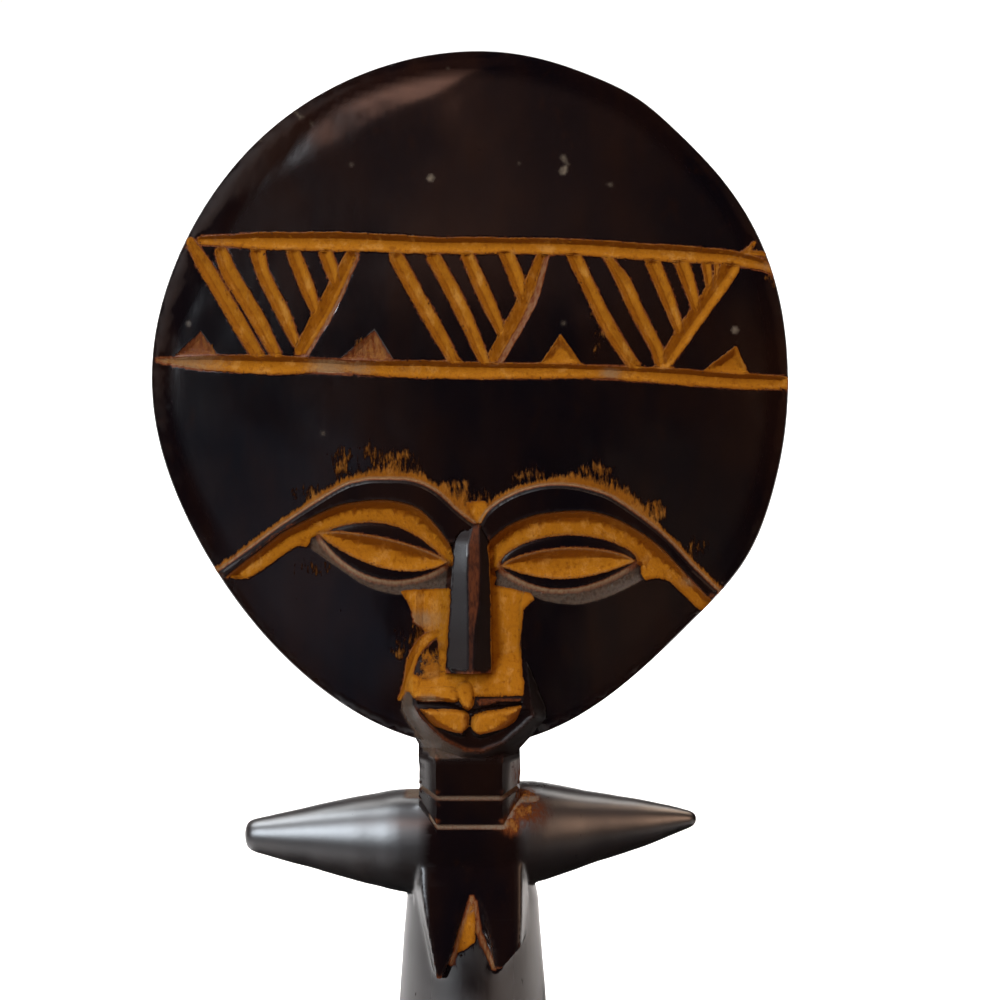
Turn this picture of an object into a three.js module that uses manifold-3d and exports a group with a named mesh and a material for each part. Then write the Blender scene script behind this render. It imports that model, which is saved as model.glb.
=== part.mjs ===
// A carved wooden doll figure with a large flat round head, after the fertility dolls of West Africa.
// It is one piece of wood: head, ringed neck, stub arms, breasts, column body and low round base.
// Millimetres, +Z up. The origin is the centre of the underside, and the figure looks along -Y.
import * as THREE from "three";
import { mergeVertices } from "three/addons/utils/BufferGeometryUtils.js";
import Module from "manifold-3d";

const wasm = await Module();
wasm.setup();

// Driving dimensions
const HEAD_CENTRE_Z = 248; // height of the middle of the head
const HEAD_BACK = 14.5; // how far the middle of the head lies behind the axis of the body
const HEAD_LEAN = THREE.MathUtils.degToRad(12); // the head leans back by this much
const HEAD_SIDE_RADIUS = 76;
const HEAD_TOP_RADIUS = 79.6;
const HEAD_CHIN_RADIUS = 86.6;
const RIM_FRONT = 4.2; // the rim's front edge, ahead of the head's middle plane
const RIM_BACK = 4.8;
const FRONT_CROWN = 4.6; // how far the face swells ahead of the rim
const BACK_CROWN = 3.4;
const ARM_ROOT_RADIUS = 12.8;
const TORSO_RADIUS = 16; // under the arms
const BASE_RADIUS = 37;
const BASE_HEIGHT = 11;

// General helpers

// A closed geometry as a solid that can be joined and cut, with its faces pointing out.
function solid(geometry) {
  const bare = geometry.clone();
  bare.deleteAttribute("normal");
  bare.deleteAttribute("uv");
  const merged = mergeVertices(bare, 1e-4);
  const vertProperties = new Float32Array(merged.attributes.position.array);
  const make = (triVerts) =>
    new wasm.Manifold(new wasm.Mesh({ numProp: 3, vertProperties, triVerts }));
  const triangles = new Uint32Array(merged.index.array);
  const made = make(triangles);
  return made.volume() < 0 ? make(triangles.slice().reverse()) : made;
}

// A closed skin over rings of points, each ring with the same count, with a fan over each end.
function loft(rings) {
  const count = rings[0].length;
  const end = (rings.length - 1) * count;
  const faces = [];
  for (let start = 0; start < end; start += count)
    for (let i = 0; i < count; i++) {
      const a = start + i;
      const b = start + ((i + 1) % count);
      faces.push(a, b, b + count, a, b + count, a + count);
    }
  for (let i = 1; i < count - 1; i++)
    faces.push(0, i + 1, i, end, end + i, end + i + 1);
  const geometry = new THREE.BufferGeometry().setFromPoints(rings.flat());
  geometry.setIndex(faces);
  return solid(geometry);
}

// A round solid about Z from a profile of [radius, height] points that starts and ends on the axis.
function turned(profile, segments) {
  const points = profile.map(([radius, height]) => new THREE.Vector2(radius, height));
  return new THREE.LatheGeometry(points, segments).rotateX(Math.PI / 2);
}

// A smooth curve in the plane of the head through [across, up] points.
function curve(points) {
  return new THREE.CatmullRomCurve3(points.map(([u, v]) => new THREE.Vector3(u, v, 0)));
}

const steps = (count) => Array.from({ length: count + 1 }, (_, i) => i / count);
const mix = THREE.MathUtils.lerp;

// The head, in its own frame: u across, v up and w out of the face, from the head's middle

// The outline of the head at an angle from +u: round, a little taller at the top, drawn down to
// the chin, and uneven by the few slow waves and the two full places that hand cutting left.
const RIM_WAVES = [
  { height: 0.2, lobes: 4, turn: -60 },
  { height: 0.34, lobes: 5, turn: 134 },
  { height: 0.24, lobes: 7, turn: -172 },
];
const FULL_PLACES = [
  { at: -33, spread: 11, height: 1.2 },
  { at: 60, spread: 8, height: 0.9 },
];
function rimRadius(angle) {
  const rise = Math.sin(angle);
  const drawn =
    rise > 0
      ? (HEAD_TOP_RADIUS - HEAD_SIDE_RADIUS) * rise ** 2
      : (HEAD_CHIN_RADIUS - HEAD_SIDE_RADIUS) * Math.abs(rise) ** 7.5;
  const degrees = THREE.MathUtils.radToDeg(angle);
  const unevenness = [
    ...RIM_WAVES.map(
      ({ height, lobes, turn }) =>
        height * Math.cos(lobes * angle - THREE.MathUtils.degToRad(turn)),
    ),
    ...FULL_PLACES.map(
      ({ at, spread, height }) => height * Math.exp(-(((degrees - at) / spread) ** 2)),
    ),
  ];
  return unevenness.reduce((sum, part) => sum + part, HEAD_SIDE_RADIUS + drawn);
}

// Height of the uncarved face over the middle plane at a point of the head.
function crown(u, v) {
  const share = Math.hypot(u, v) / rimRadius(Math.atan2(v, u));
  return RIM_FRONT + FRONT_CROWN * (1 - Math.min(share, 1) ** 2);
}
const onFace = (u, v, lift = 0) => new THREE.Vector3(u, v, crown(u, v) + lift);

// The plain round head before carving, a swelling disc with softened edges.
function headDisc() {
  const edge = 0.965; // share of the radius where the rim starts to round over
  const frontShares = [0, 0.3, 0.6, 0.85, edge];
  const backShares = [edge, 0.8, 0.5, 0];
  const front = frontShares.map((s) => [s, RIM_FRONT + FRONT_CROWN * (1 - s * s)]);
  const back = backShares.map((s) => [s, -RIM_BACK - BACK_CROWN * (1 - s * s)]);
  const rim = [
    [0.99, 0.8 * RIM_FRONT],
    [1, 0.35 * RIM_FRONT],
    [1, -0.4 * RIM_BACK],
    [0.99, -0.85 * RIM_BACK],
  ];
  const geometry = turned([...front, ...rim, ...back], 80);
  const place = geometry.attributes.position;
  for (let i = 0; i < place.count; i++) {
    const radius = rimRadius(Math.atan2(place.getY(i), place.getX(i)));
    place.setXY(i, place.getX(i) * radius, place.getY(i) * radius);
  }
  return solid(geometry);
}

// The head's outline, a little smaller, as a straight block between two heights.
function betweenHeights(low, high, share) {
  return loft(
    [low, high].map((w) =>
      steps(80).slice(1).map((t) => {
        const radius = share * rimRadius(mix(-Math.PI, Math.PI, t));
        const angle = mix(-Math.PI, Math.PI, t);
        return new THREE.Vector3(radius * Math.cos(angle), radius * Math.sin(angle), w);
      }),
    ),
  );
}

// Knife cuts

// The solid that a V-shaped knife cut removes along a curve on the face. The cut lifts out at
// both ends, over the taper share of its length.
function knifeCut({ path, width, depth, count = 4, taper = 0.1 }) {
  const clear = 2.5; // how far the cutter stands over the surface
  const shares = [0, taper, ...steps(count).slice(1, -1), 1 - taper, 1];
  const rings = shares.map((t) => {
    const at = path.getPoint(t);
    const along = path.getTangent(t);
    const side = new THREE.Vector3(-along.y, along.x, 0);
    const grow = t === 0 || t === 1 ? 0.25 : 1;
    const half = ((width * grow) / 2) * (1 + clear / (depth * grow));
    const ground = crown(at.x, at.y);
    return [
      at.clone().addScaledVector(side, half).setZ(ground + clear),
      at.clone().setZ(ground - depth * grow),
      at.clone().addScaledVector(side, -half).setZ(ground + clear),
    ];
  });
  return loft(rings);
}

// A three-cornered chip, cut as a pit whose sides run down to one point.
function chipCut(corners, depth) {
  const clear = 2.5;
  const middle = corners
    .reduce((sum, [u, v]) => sum.add(new THREE.Vector3(u, v, 0)), new THREE.Vector3())
    .divideScalar(corners.length);
  const ground = crown(middle.x, middle.y);
  const ringAt = (share, lift) =>
    corners.map(([u, v]) =>
      new THREE.Vector3(u, v, 0).lerp(middle, 1 - share).setZ(ground + lift),
    );
  return loft([ringAt(1 + clear / depth, clear), ringAt(0.02, -depth)]);
}

// The pattern band over the brow: two long lines, three hatched triangles and four chips

const CUT_WIDTH = 2.7;
const CUT_DEPTH = 1.1;
const BAND_TOP = curve([[-69, 34.8], [-30, 34], [4, 33], [40, 31.4], [74, 27.8]]);
const BAND_FOOT = curve([[-75.5, 5.6], [-40, 4.2], [0, 3], [40, 2.6], [77, 1]]);

// Each hatched triangle hangs from the top line between left and right, with its point at foot.
// Its strokes stand side by side and get steeper, from the first lean to the last.
const HATCHED = [
  { left: -68, right: -28, foot: -43, strokes: 5, leans: [0.65, 0.36] },
  { left: -19, right: 18.3, foot: 3.4, strokes: 4, leans: [0.59, 0.42] },
  { left: 24.8, right: 62.6, foot: 45, strokes: 5, leans: [0.55, 0.24] },
];
const CHIPS = [
  { at: -66, half: 5.2, height: 5.6 },
  { at: -24.5, half: 6.2, height: 6.6 },
  { at: 21, half: 4.8, height: 5.6 },
  { at: 62, half: 5, height: 5.6 },
];

// Height of a band line at a place across the head.
function lineAt(line, u) {
  const [first, last] = [line.getPoint(0).x, line.getPoint(1).x];
  return line.getPoint((u - first) / (last - first)).y;
}

function hatchedTriangle({ left, right, foot, strokes, leans }) {
  const topAt = (u) => lineAt(BAND_TOP, u) - 1.2;
  const footV = lineAt(BAND_FOOT, foot) + 1;
  const closing = { u: right, v: topAt(right) };
  const slope = (closing.v - footV) / (closing.u - foot); // of the stroke that closes the triangle
  const cuts = [[[closing.u, closing.v], [foot, footV]]];
  for (let i = 0; i < strokes; i++) {
    const share = i / strokes;
    const start = { u: mix(left, right, share), v: topAt(mix(left, right, share)) };
    const lean = mix(leans[0], leans[1], i / (strokes - 1));
    // Down along the stroke's lean, to the closing stroke or the foot line, whichever is first
    const toClosing = (start.v - footV - slope * (start.u - foot)) / (1 + slope * lean);
    const drop = Math.min(toClosing, start.v - footV);
    cuts.push([[start.u, start.v], [start.u + lean * drop, start.v - drop]]);
  }
  return cuts.map((ends) =>
    knifeCut({ path: curve(ends), width: CUT_WIDTH, depth: CUT_DEPTH, count: 2 }),
  );
}

function patternCuts() {
  const lines = [BAND_TOP, BAND_FOOT].map((path) =>
    knifeCut({ path, width: CUT_WIDTH, depth: CUT_DEPTH, count: 9, taper: 0.04 }),
  );
  const chips = CHIPS.map(({ at, half, height }) => {
    const foot = lineAt(BAND_FOOT, at) + 1.6;
    return chipCut([[at - half, foot], [at + half, foot - 0.8], [at + 0.3, foot + height]], 1.2);
  });
  return [...lines, ...HATCHED.flatMap(hatchedTriangle), ...chips];
}

// The face

const BRIDGE = { u: 1.6, v: -33 }; // where the brows meet
const BROW_LIFT = 1.7;
const NOSE_TIP = { u: -0.9, v: -68.3, lift: 7.4, ridge: 0.8 };
const SOCKET_DEPTH = 1.5;
const EYES = [
  { u: -21.2, v: -39.2, half: 17.2, height: 6.8, slant: -13 },
  { u: 22.8, v: -42.4, half: 17.4, height: 6.4, slant: 0 },
];
const CHEEK_DEPTH = 0.9; // of the sunken strips beside the nose

// A brow on one side, between its upper and lower edges, from the bridge out to the rim.
function brow(side) {
  const drop = side > 0 ? -1.2 : 1; // the carving sits a little lower on the figure's left
  const upper = [[0, -33], [9, -25.8], [21, -22.8], [33, -25.8], [62, -47]];
  const lower = [[4.8, -38.5], [10, -33], [21, -28.9], [34, -30.9], [60, -50]];
  const place = ([u, v]) => [BRIDGE.u * (1 - u / 62) + side * u, v + (drop * u) / 21];
  const [top, foot] = [curve(upper.map(place)), curve(lower.map(place))];
  return loft(
    steps(12).map((t) => {
      const [a, b] = [top.getPoint(t), foot.getPoint(t)];
      const lift = BROW_LIFT * mix(1, 0.3, t ** 3);
      const bevel = a.clone().lerp(b, 0.22);
      return [
        onFace(a.x, a.y, -2.5),
        onFace(a.x, a.y, 0.1),
        onFace(bevel.x, bevel.y, lift),
        onFace(b.x, b.y, lift),
        onFace(b.x, b.y, -2.5),
      ];
    }),
  );
}

// Half-width of an almond at a place along it, from -1 to 1.
const almond = (t) => (1 - t * t) ** 0.8;

// A skin over an almond that lies on the face. The section gives, for a place along it, the
// points across as [share of the half-width, height over the face].
function almondLoft({ u, v, half, height, slant }, section) {
  const turn = THREE.MathUtils.degToRad(slant);
  return loft(
    steps(12).map((s) => {
      const t = mix(-0.985, 0.985, s);
      return section(t).map(([share, lift]) => {
        const [along, across] = [t * half, share * height * almond(t)];
        return onFace(
          u + along * Math.cos(turn) - across * Math.sin(turn),
          v + along * Math.sin(turn) + across * Math.cos(turn),
          lift,
        );
      });
    }),
  );
}

// The sunken socket round an eye, up to the brow.
function socketCut(eye) {
  const wide = { ...eye, v: eye.v + 1.8, half: eye.half + 3.4, height: eye.height + 4.4 };
  return almondLoft(wide, () => [
    [-1.12, 3], [-0.86, -SOCKET_DEPTH], [0, -SOCKET_DEPTH], [0.86, -SOCKET_DEPTH], [1.12, 3],
  ]);
}

// The closed lids, a swelling almond with one V-shaped slit between them.
function lids(eye) {
  return almondLoft(eye, (t) => {
    const rise = 1.2 * (1 - t ** 4);
    const slit = -1.1 * (1 - t ** 4) - 0.1;
    return [
      [-1, -SOCKET_DEPTH - 1], [-1, -SOCKET_DEPTH + 0.2], [-0.75, rise], [-0.47, rise],
      [0.06, slit], [0.5, rise], [0.75, rise], [1, -SOCKET_DEPTH + 0.2], [1, -SOCKET_DEPTH - 1],
    ];
  });
}

// A solid between two outlines of the same count that lie one behind the other on the face.
// Each point is [across, up, height over the face].
function betweenOutlines(back, front) {
  return loft([back, front].map((outline) => outline.map((point) => onFace(...point))));
}

// The sunken strip on one side of the nose, between the eye and the mouth.
function cheekCut([inner, outer, foot]) {
  const corners = [[inner, -45], [outer, -46.5], [foot, -74], [inner, -74]];
  return betweenOutlines(
    corners.map(([u, v]) => [u, v, -CHEEK_DEPTH]),
    corners.map(([u, v]) => [u, v, 5]),
  );
}
const CHEEKS = [[2, -13, -15], [0, 11.6, 12.4]];

// The long nose: two planes that meet in a ridge, and a flat cut under the tip.
function nose() {
  const stations = [
    { t: 0, half: 3, lift: 1.5 },
    { t: 0.2, half: 4.3, lift: 3.4 },
    { t: 0.6, half: 5, lift: 5.6 },
    { t: 1, half: 5.6, lift: NOSE_TIP.lift },
  ];
  return loft(
    stations.map(({ t, half, lift }) => {
      const [u, v] = [mix(BRIDGE.u, NOSE_TIP.u, t), mix(BRIDGE.v, NOSE_TIP.v, t)];
      return [
        onFace(u - half, v, -3),
        onFace(u - half, v, 0.5 * lift),
        onFace(u + t * NOSE_TIP.ridge, v, lift),
        onFace(u + half, v, 0.5 * lift),
        onFace(u + half, v, -3),
      ];
    }),
  );
}

// The mouth's mound, which ends below in the V-shaped edge of the jaw. Each row holds its two
// edge points and the two points at its foot, where it runs out on the head.
const JAW_LIFT = 5.2;
const JAW_ROWS = [
  { edge: [[-11, -66], [11, -66]], foot: [[-12, -63], [12, -63]], lift: 0.6 },
  { edge: [[-14, -72], [13.6, -72.5]], foot: [[-16, -70], [16, -70.5]], lift: 3.2 },
  { edge: [[-15.8, -77.4], [15.4, -78.7]], foot: [[-18.6, -76.5], [18.2, -77.8]], lift: JAW_LIFT },
  { edge: [[-11.3, -80.6], [11.4, -81.4]], foot: [[-14.4, -81.6], [14, -82.4]], lift: JAW_LIFT },
  { edge: [[-6.9, -83.8], [6.9, -84.2]], foot: [[-11.9, -85.6], [11, -86]], lift: JAW_LIFT },
  { edge: [[-1.6, -86.1], [0.2, -86.1]], foot: [[-9.6, -89], [9, -89]], lift: JAW_LIFT },
];
function jaw() {
  return loft(
    JAW_ROWS.map(({ edge: [left, right], foot: [footLeft, footRight], lift }) => [
      onFace(...footLeft, -4),
      onFace(...left, lift),
      onFace((left[0] + right[0]) / 2, (left[1] + right[1]) / 2, lift + 0.3),
      onFace(...right, lift),
      onFace(...footRight, -4),
    ]),
  );
}
function mouthGround(u, v) {
  return mix(0.6, JAW_LIFT, Math.min((-66 - v) / 11, 1));
}

// One half of a lip. It rises from its far edge to a crest and steps down at the parting. Each
// station is [across, far edge, parting edge, how far it stands up].
function lip({ crest, stations }) {
  return loft(
    stations.map(([u, far, parting, lift]) => {
      const ground = mouthGround(u, parting);
      const points = [
        [far, ground - 2],
        [far, mouthGround(u, far) + 0.1],
        [mix(far, parting, crest), ground + lift],
        [parting, ground + 0.7 * lift],
        [parting, ground - 2],
      ];
      return points.map(([v, height]) => onFace(u, v, height));
    }),
  );
}
const LIPS = [
  { crest: 0.7, stations: [[-14, -72.4, -74.2, 0.6], [-12, -71.2, -74.7, 1.3],
    [-5, -70.4, -75, 1.6], [-1, -70.2, -75.2, 1.2]] },
  { crest: 0.7, stations: [[-0.8, -70.2, -75.2, 1.2], [4, -70.4, -75, 1.6],
    [10.5, -71.2, -74.7, 1.3], [12.2, -72.4, -74.2, 0.6]] },
  { crest: 0.6, stations: [[-12.6, -77.6, -76.8, 0.4], [-9.4, -80.2, -76.6, 1.3],
    [-5.6, -82, -76.8, 1.6], [-2.4, -80.9, -77.1, 1.4], [-0.9, -78.8, -77.6, 0.4]] },
  { crest: 0.6, stations: [[-0.6, -78.8, -77.6, 0.4], [1.2, -81.2, -77, 1.4],
    [4.4, -82.8, -76.7, 1.6], [8.6, -80.8, -76.4, 1.3], [11.9, -77.5, -76.4, 0.4]] },
];

// The small tongue that hangs from the nose over the parting of the lips.
function philtrum() {
  const plan = [[-3.6, -68], [1.8, -68], [-0.7, -76.4]];
  return betweenOutlines(
    plan.map(([u, v]) => [u, v, 0]),
    plan.map(([u, v]) => [mix(u, -0.7, 0.25), v, mouthGround(u, v) + 1.8]),
  );
}

function carvedHead() {
  const frame = new THREE.Matrix4().makeRotationX(Math.PI / 2 - HEAD_LEAN);
  frame.setPosition(0, HEAD_BACK, HEAD_CENTRE_Z);
  const disc = headDisc();
  const cuts = [...patternCuts(), ...EYES.map(socketCut), ...CHEEKS.map(cheekCut)];
  const relief = [...EYES.map(lids), nose(), jaw(), ...LIPS.map(lip), philtrum()];
  // The brows run out at the rim, so they are kept inside the head's outline
  const outline = betweenHeights(-8, 16, 0.985);
  const brows = [brow(-1), brow(1)].map((piece) => piece.intersect(outline));
  const carved = cuts.reduce((head, cutter) => head.subtract(cutter), disc);
  const raised = [...relief, ...brows].reduce((head, piece) => head.add(piece), carved);
  return raised.transform(frame.elements);
}

// Neck, arms and body, in the frame of the whole figure

// A level section with eight sides: broad flats in front and behind, and cut corners. The
// saddle lifts its sides over its front and back.
function eightSided({ z, half, front, back, saddle = 0, corner = 4.2 }) {
  const outline = [
    [-1, front + corner], [-1 + corner / half, front], [1 - corner / half, front],
    [1, front + corner], [1, back - corner], [1 - corner / half, back],
    [-1 + corner / half, back], [-1, back - corner],
  ];
  return outline.map(
    ([share, y]) =>
      new THREE.Vector3(share * half + NECK_X, y, z + (Math.abs(share) === 1 ? saddle : 0)),
  );
}

// The chest and the neck. Two V cuts run round the neck, and the lower one climbs onto the
// shoulders. Over them the front flares to meet the jaw and the back runs up into the head.
const NECK_X = -0.6; // the neck stands a little to one side
const NECK_HALF = 12.1;
const NECK_CUTS = [
  { z: 145.2, saddle: 5.6 },
  { z: 152.4, saddle: 1.8 },
];
function chestAndNeck() {
  const neck = { half: NECK_HALF, front: -10.6, back: 10.4 };
  const cutRows = NECK_CUTS.flatMap(({ z, saddle }) => [
    { ...neck, z: z - 0.7, saddle },
    { z, half: neck.half - 0.8, front: neck.front + 0.8, back: neck.back - 0.8, saddle },
    { ...neck, z: z + 0.7, saddle },
  ]);
  return loft(
    [
      { z: 116, half: 14, front: -12, back: 12 },
      { z: 130, half: 14, front: -13.8, back: 12 },
      ...cutRows,
      { ...neck, z: 161.6 },
      { ...neck, z: 165, front: -12.2, back: 10.6 },
      { ...neck, z: 172, front: -6, back: 11.8 },
      { z: 182, half: 9.4, front: 0, back: 12.8 },
      { z: 194, half: 4.6, front: 4, back: 12.4, corner: 3 },
    ].map(eightSided),
  );
}

// A stub arm straight out to one side, round in section.
function arm({ side, z, reach, rise, profile }) {
  const geometry = turned([[0, 0], ...profile, [0, reach]], 20);
  geometry.rotateY((side * Math.PI) / 2);
  geometry.rotateY(-side * Math.atan(rise / reach));
  geometry.scale(1, 0.92, 1);
  geometry.translate(0, 0, z);
  return solid(geometry);
}
const ARMS = [
  {
    side: -1,
    z: 137.7,
    reach: 55.3,
    rise: 2,
    profile: [[ARM_ROOT_RADIUS, 0], [12.6, 17.3], [9.4, 31.8], [6, 45.4], [4.7, 50], [3.6, 53.8],
      [2.2, 55]],
  },
  {
    side: 1,
    z: 139.2,
    reach: 54.8,
    rise: 4.6,
    profile: [[ARM_ROOT_RADIUS, 0], [12.3, 15.6], [9, 28.4], [5.5, 42.3], [2.5, 51.8],
      [1.2, 54.2]],
  },
];

// A breast, a wedge whose flat front widens the chest's plane and hangs down to a point.
// Each row is [height, outer edge, inner edge, how far forward].
function breast({ rows, skirt }) {
  return loft(
    rows.map(([z, outer, inner, forward]) => {
      const out = Math.sign(outer) * skirt;
      return [
        new THREE.Vector3(outer + out, -8, z),
        new THREE.Vector3(outer, -forward, z),
        new THREE.Vector3(inner, -forward, z),
        new THREE.Vector3(inner - 0.7 * out, -8, z),
      ];
    }),
  );
}
const BREASTS = [
  {
    skirt: 2.2,
    rows: [[138, -12, -1, 10.8], [131, -12, -0.6, 14.2], [124, -10.9, -2.6, 17.2],
      [117.4, -9.6, -4.4, 19.6], [110.8, -8.3, -7.5, 21.6], [109.6, -8.2, -7.6, 16]],
  },
  {
    skirt: 1.6,
    rows: [[138, 11.8, 1, 10.8], [131, 11.9, 0.8, 14.2], [124, 11.9, 3.2, 17],
      [118, 11.7, 4.8, 19], [113, 6.8, 5.7, 20.8], [111.6, 6.6, 5.8, 16]],
  },
];

// The column body, from the shoulders down to a flare that stands on the low round base.
function bodyAndBase() {
  const profile = [
    [0, 0], [BASE_RADIUS - 0.8, 0], [BASE_RADIUS, 1], [BASE_RADIUS, BASE_HEIGHT - 2],
    [BASE_RADIUS - 1.6, BASE_HEIGHT], [29, BASE_HEIGHT + 1.2], [26, 16], [24, 24],
    [22.2, 42], [20, 70], [17.8, 101], [TORSO_RADIUS, 124], [14.6, 130], [11.6, 137], [0, 141],
  ];
  return solid(turned(profile, 64));
}

// The whole figure, joined into one solid

function figureGeometry() {
  const pieces = [bodyAndBase(), chestAndNeck(), ...ARMS.map(arm), ...BREASTS.map(breast)];
  const whole = pieces.reduce((figure, piece) => figure.add(piece), carvedHead());
  const mesh = whole.getMesh();
  const geometry = new THREE.BufferGeometry();
  geometry.setAttribute("position", new THREE.BufferAttribute(mesh.vertProperties, mesh.numProp));
  geometry.setIndex(new THREE.BufferAttribute(mesh.triVerts, 1));
  return geometry;
}

const blackWood = new THREE.MeshStandardMaterial({
  color: 0x1b1412,
  roughness: 0.35,
  metalness: 0,
});
const figure = new THREE.Mesh(figureGeometry(), blackWood);
figure.name = "figure";

const group = new THREE.Group();
group.add(figure);
export default group;
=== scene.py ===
"""A carved black wooden doll figure with a large flat round head, yellow ochre in its cuts.

The figure is one piece of wood, so it is one mesh here. Its sizes are in millimetres, in the
frame of the part: +Z up, looking along -Y, the origin under the middle of the base. The head has
its own frame: u across, v up and w out of the face, from the middle of the head. The studio's
sizes are in metres.
"""

import math

import bmesh
import bpy
import numpy as np
from mathutils import Matrix, Vector
from mathutils.geometry import delaunay_2d_cdt
from mathutils.kdtree import KDTree


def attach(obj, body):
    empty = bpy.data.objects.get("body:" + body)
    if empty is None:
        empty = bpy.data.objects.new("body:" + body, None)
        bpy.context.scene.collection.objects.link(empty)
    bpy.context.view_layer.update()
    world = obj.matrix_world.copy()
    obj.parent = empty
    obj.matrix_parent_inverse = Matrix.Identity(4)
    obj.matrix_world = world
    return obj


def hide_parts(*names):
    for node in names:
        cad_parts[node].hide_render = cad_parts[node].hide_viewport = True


bl_info = {
    "name": "Carved doll figure",
    "version": (1, 0, 0),
    "blender": (4, 5, 0),
    "location": "3D View > Sidebar > Doll",
    "description": "Builds a carved wooden doll figure with ochre in its cuts, and a studio for it",
    "category": "Add Mesh",
}

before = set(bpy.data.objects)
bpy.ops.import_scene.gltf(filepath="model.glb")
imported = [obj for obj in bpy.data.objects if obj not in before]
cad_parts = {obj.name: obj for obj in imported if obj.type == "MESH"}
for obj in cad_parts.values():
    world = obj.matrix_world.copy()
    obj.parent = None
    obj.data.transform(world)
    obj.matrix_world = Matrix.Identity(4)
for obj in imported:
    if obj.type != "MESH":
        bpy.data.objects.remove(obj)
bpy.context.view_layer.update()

MM = 0.001

# The head
HEAD_CENTRE = (0.0, 14.5, 248.0)
HEAD_LEAN = math.radians(12)
HEAD_SIDE_RADIUS = 75.95
HEAD_TOP_RADIUS = 79.3
HEAD_CHIN_RADIUS = 86.6
RIM_FRONT = 4.2
RIM_BACK = 4.8
FRONT_CROWN = 4.6
BACK_CROWN = 3.4
RIM_WAVES = ((0.2, 4, -60), (0.34, 5, 134), (0.24, 7, -172))  # height, lobes, turn in degrees
FULL_PLACES = ((-33, 11, 1.2), (60, 8, 0.9))  # at and spread in degrees, height
EDGE_START = 0.987  # share of the radius where the rim starts to round over
EDGE_DROP = 1.3  # how far the face falls as it rounds over
FACE_END = 0.995  # share of the radius where the carved face hands over to the rim
SHAVED = ((-0.478, 0.878), 65.2, 0.07)  # way out to the flat at the upper left, its start, slope

# The carving
BROW_LIFT = 1.7
LID_LIFT = 0.7
JAW_LIFT = 5.2
CHEEK_DEPTH = 0.9
CHIP_DEPTH = 1.2
FINE = 0.62  # size of the face's triangles beside its cuts
COARSE = 1.9  # size of its triangles elsewhere
FINE_REACH = 1.6  # how far beside a cut they stay fine
FACE_FOOT = -90  # v below which nothing belongs to the face

# The neck and body
NECK_X = -0.6
NECK_HALF = 12.1
NECK_CORNER = 4.2  # how far its four corners are cut back
RINGS = ((145.2, 5.6), (152.4, 1.8))  # height in front of each ring cut, and its climb at the sides
ARM_ROOT = 12.8
ARM_MIDDLE = 138.4  # height where the two arms meet
CHEST_BEND = 130  # height from which the chest climbs at the sides, as the ring over it does
CHEST_CLIMB = 14.2  # and over how much height it does so
SOLE = 0.35  # what lies lower than this is pressed flat to stand on
TORSO_RADIUS = 16.0
BASE_RADIUS = 36.9
BASE_HEIGHT = 11.0
BODY_KEPT = 0.34  # share of the melted body's triangles that are kept

# The view
VIEW_MIDDLE = (6.7, -27.6)  # u and v in the middle of the picture
VIEW_WIDTH = 0.24  # metres across the picture at the face
SENSOR = 36  # millimetres


# Numbers


def wander(x, seed):
    """A slow, uneven wave between -1 and 1, for what a hand leaves uneven."""
    return (
        0.5 * np.sin(x + 1.7 * seed)
        + 0.3 * np.sin(2.3 * x + 4.1 * seed)
        + 0.2 * np.sin(4.9 * x + 2.9 * seed)
    )


def through(points, step=0.8):
    """Points every step along a smooth curve through the given ones."""
    p = np.array(points, float)
    p = np.vstack([2 * p[0] - p[1], p, 2 * p[-1] - p[-2]])
    out = []
    for a, b, c, d in zip(p[:-3], p[1:-2], p[2:-1], p[3:]):
        count = max(2, round(np.linalg.norm(c - b) / step))
        t = (np.arange(count) / count)[:, None]
        out.append(
            b + 0.5 * t * (c - a + t * (2 * a - 5 * b + 4 * c - d + t * (3 * (b - c) + d - a)))
        )
    return np.vstack([*out, p[-2:-1]])


def closed(line):
    return np.vstack([line, line[:1]])


def dense(line, step=0.6):
    """The same line with points at most about a step apart."""
    line = np.array(line, float)
    counts = [max(2, round(np.linalg.norm(b - a) / step)) for a, b in zip(line[:-1], line[1:])]
    pieces = [np.linspace(a, b, n)[:-1] for a, b, n in zip(line[:-1], line[1:], counts)]
    return np.vstack([*pieces, line[-1:]])


def shifted(line, distance):
    """The line moved to its left by a distance, or by one distance for each point."""
    along = np.gradient(line, axis=0)
    along /= np.linalg.norm(along, axis=1)[:, None] + 1e-9
    return line + np.reshape(distance, (-1, 1)) * np.column_stack([-along[:, 1], along[:, 0]])


FAR = 6.0  # distances to a line are measured up to this one


def distance_to(p, line):
    """Distance from each point to a line through points, at most FAR."""
    best = np.full(len(p), FAR)
    low, high = line.min(0) - FAR, line.max(0) + FAR
    near = np.flatnonzero(((p > low) & (p < high)).all(1))
    q = p[near]
    found = best[near]
    for a, b in zip(line[:-1], line[1:]):
        ab = b - a
        t = np.clip((q - a) @ ab / max(ab @ ab, 1e-9), 0, 1)
        found = np.minimum(found, np.linalg.norm(q - a - t[:, None] * ab, axis=1))
    best[near] = found
    return best


def depth_in(p, outline):
    """Distance in from a closed outline, negative outside it."""
    x, y = p.T
    odd = np.zeros(len(p), bool)
    for (ax, ay), (bx, by) in zip(outline, np.roll(outline, -1, 0)):
        if ay != by:
            odd ^= ((ay > y) != (by > y)) & (x < ax + (y - ay) / (by - ay) * (bx - ax))
    distance = distance_to(p, closed(outline))
    return np.where(odd, distance, -distance)


def ramp(x, low, high):
    """0 below low, 1 above high, smooth between."""
    t = np.clip((x - low) / (high - low), 0, 1)
    return t * t * (3 - 2 * t)


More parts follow.
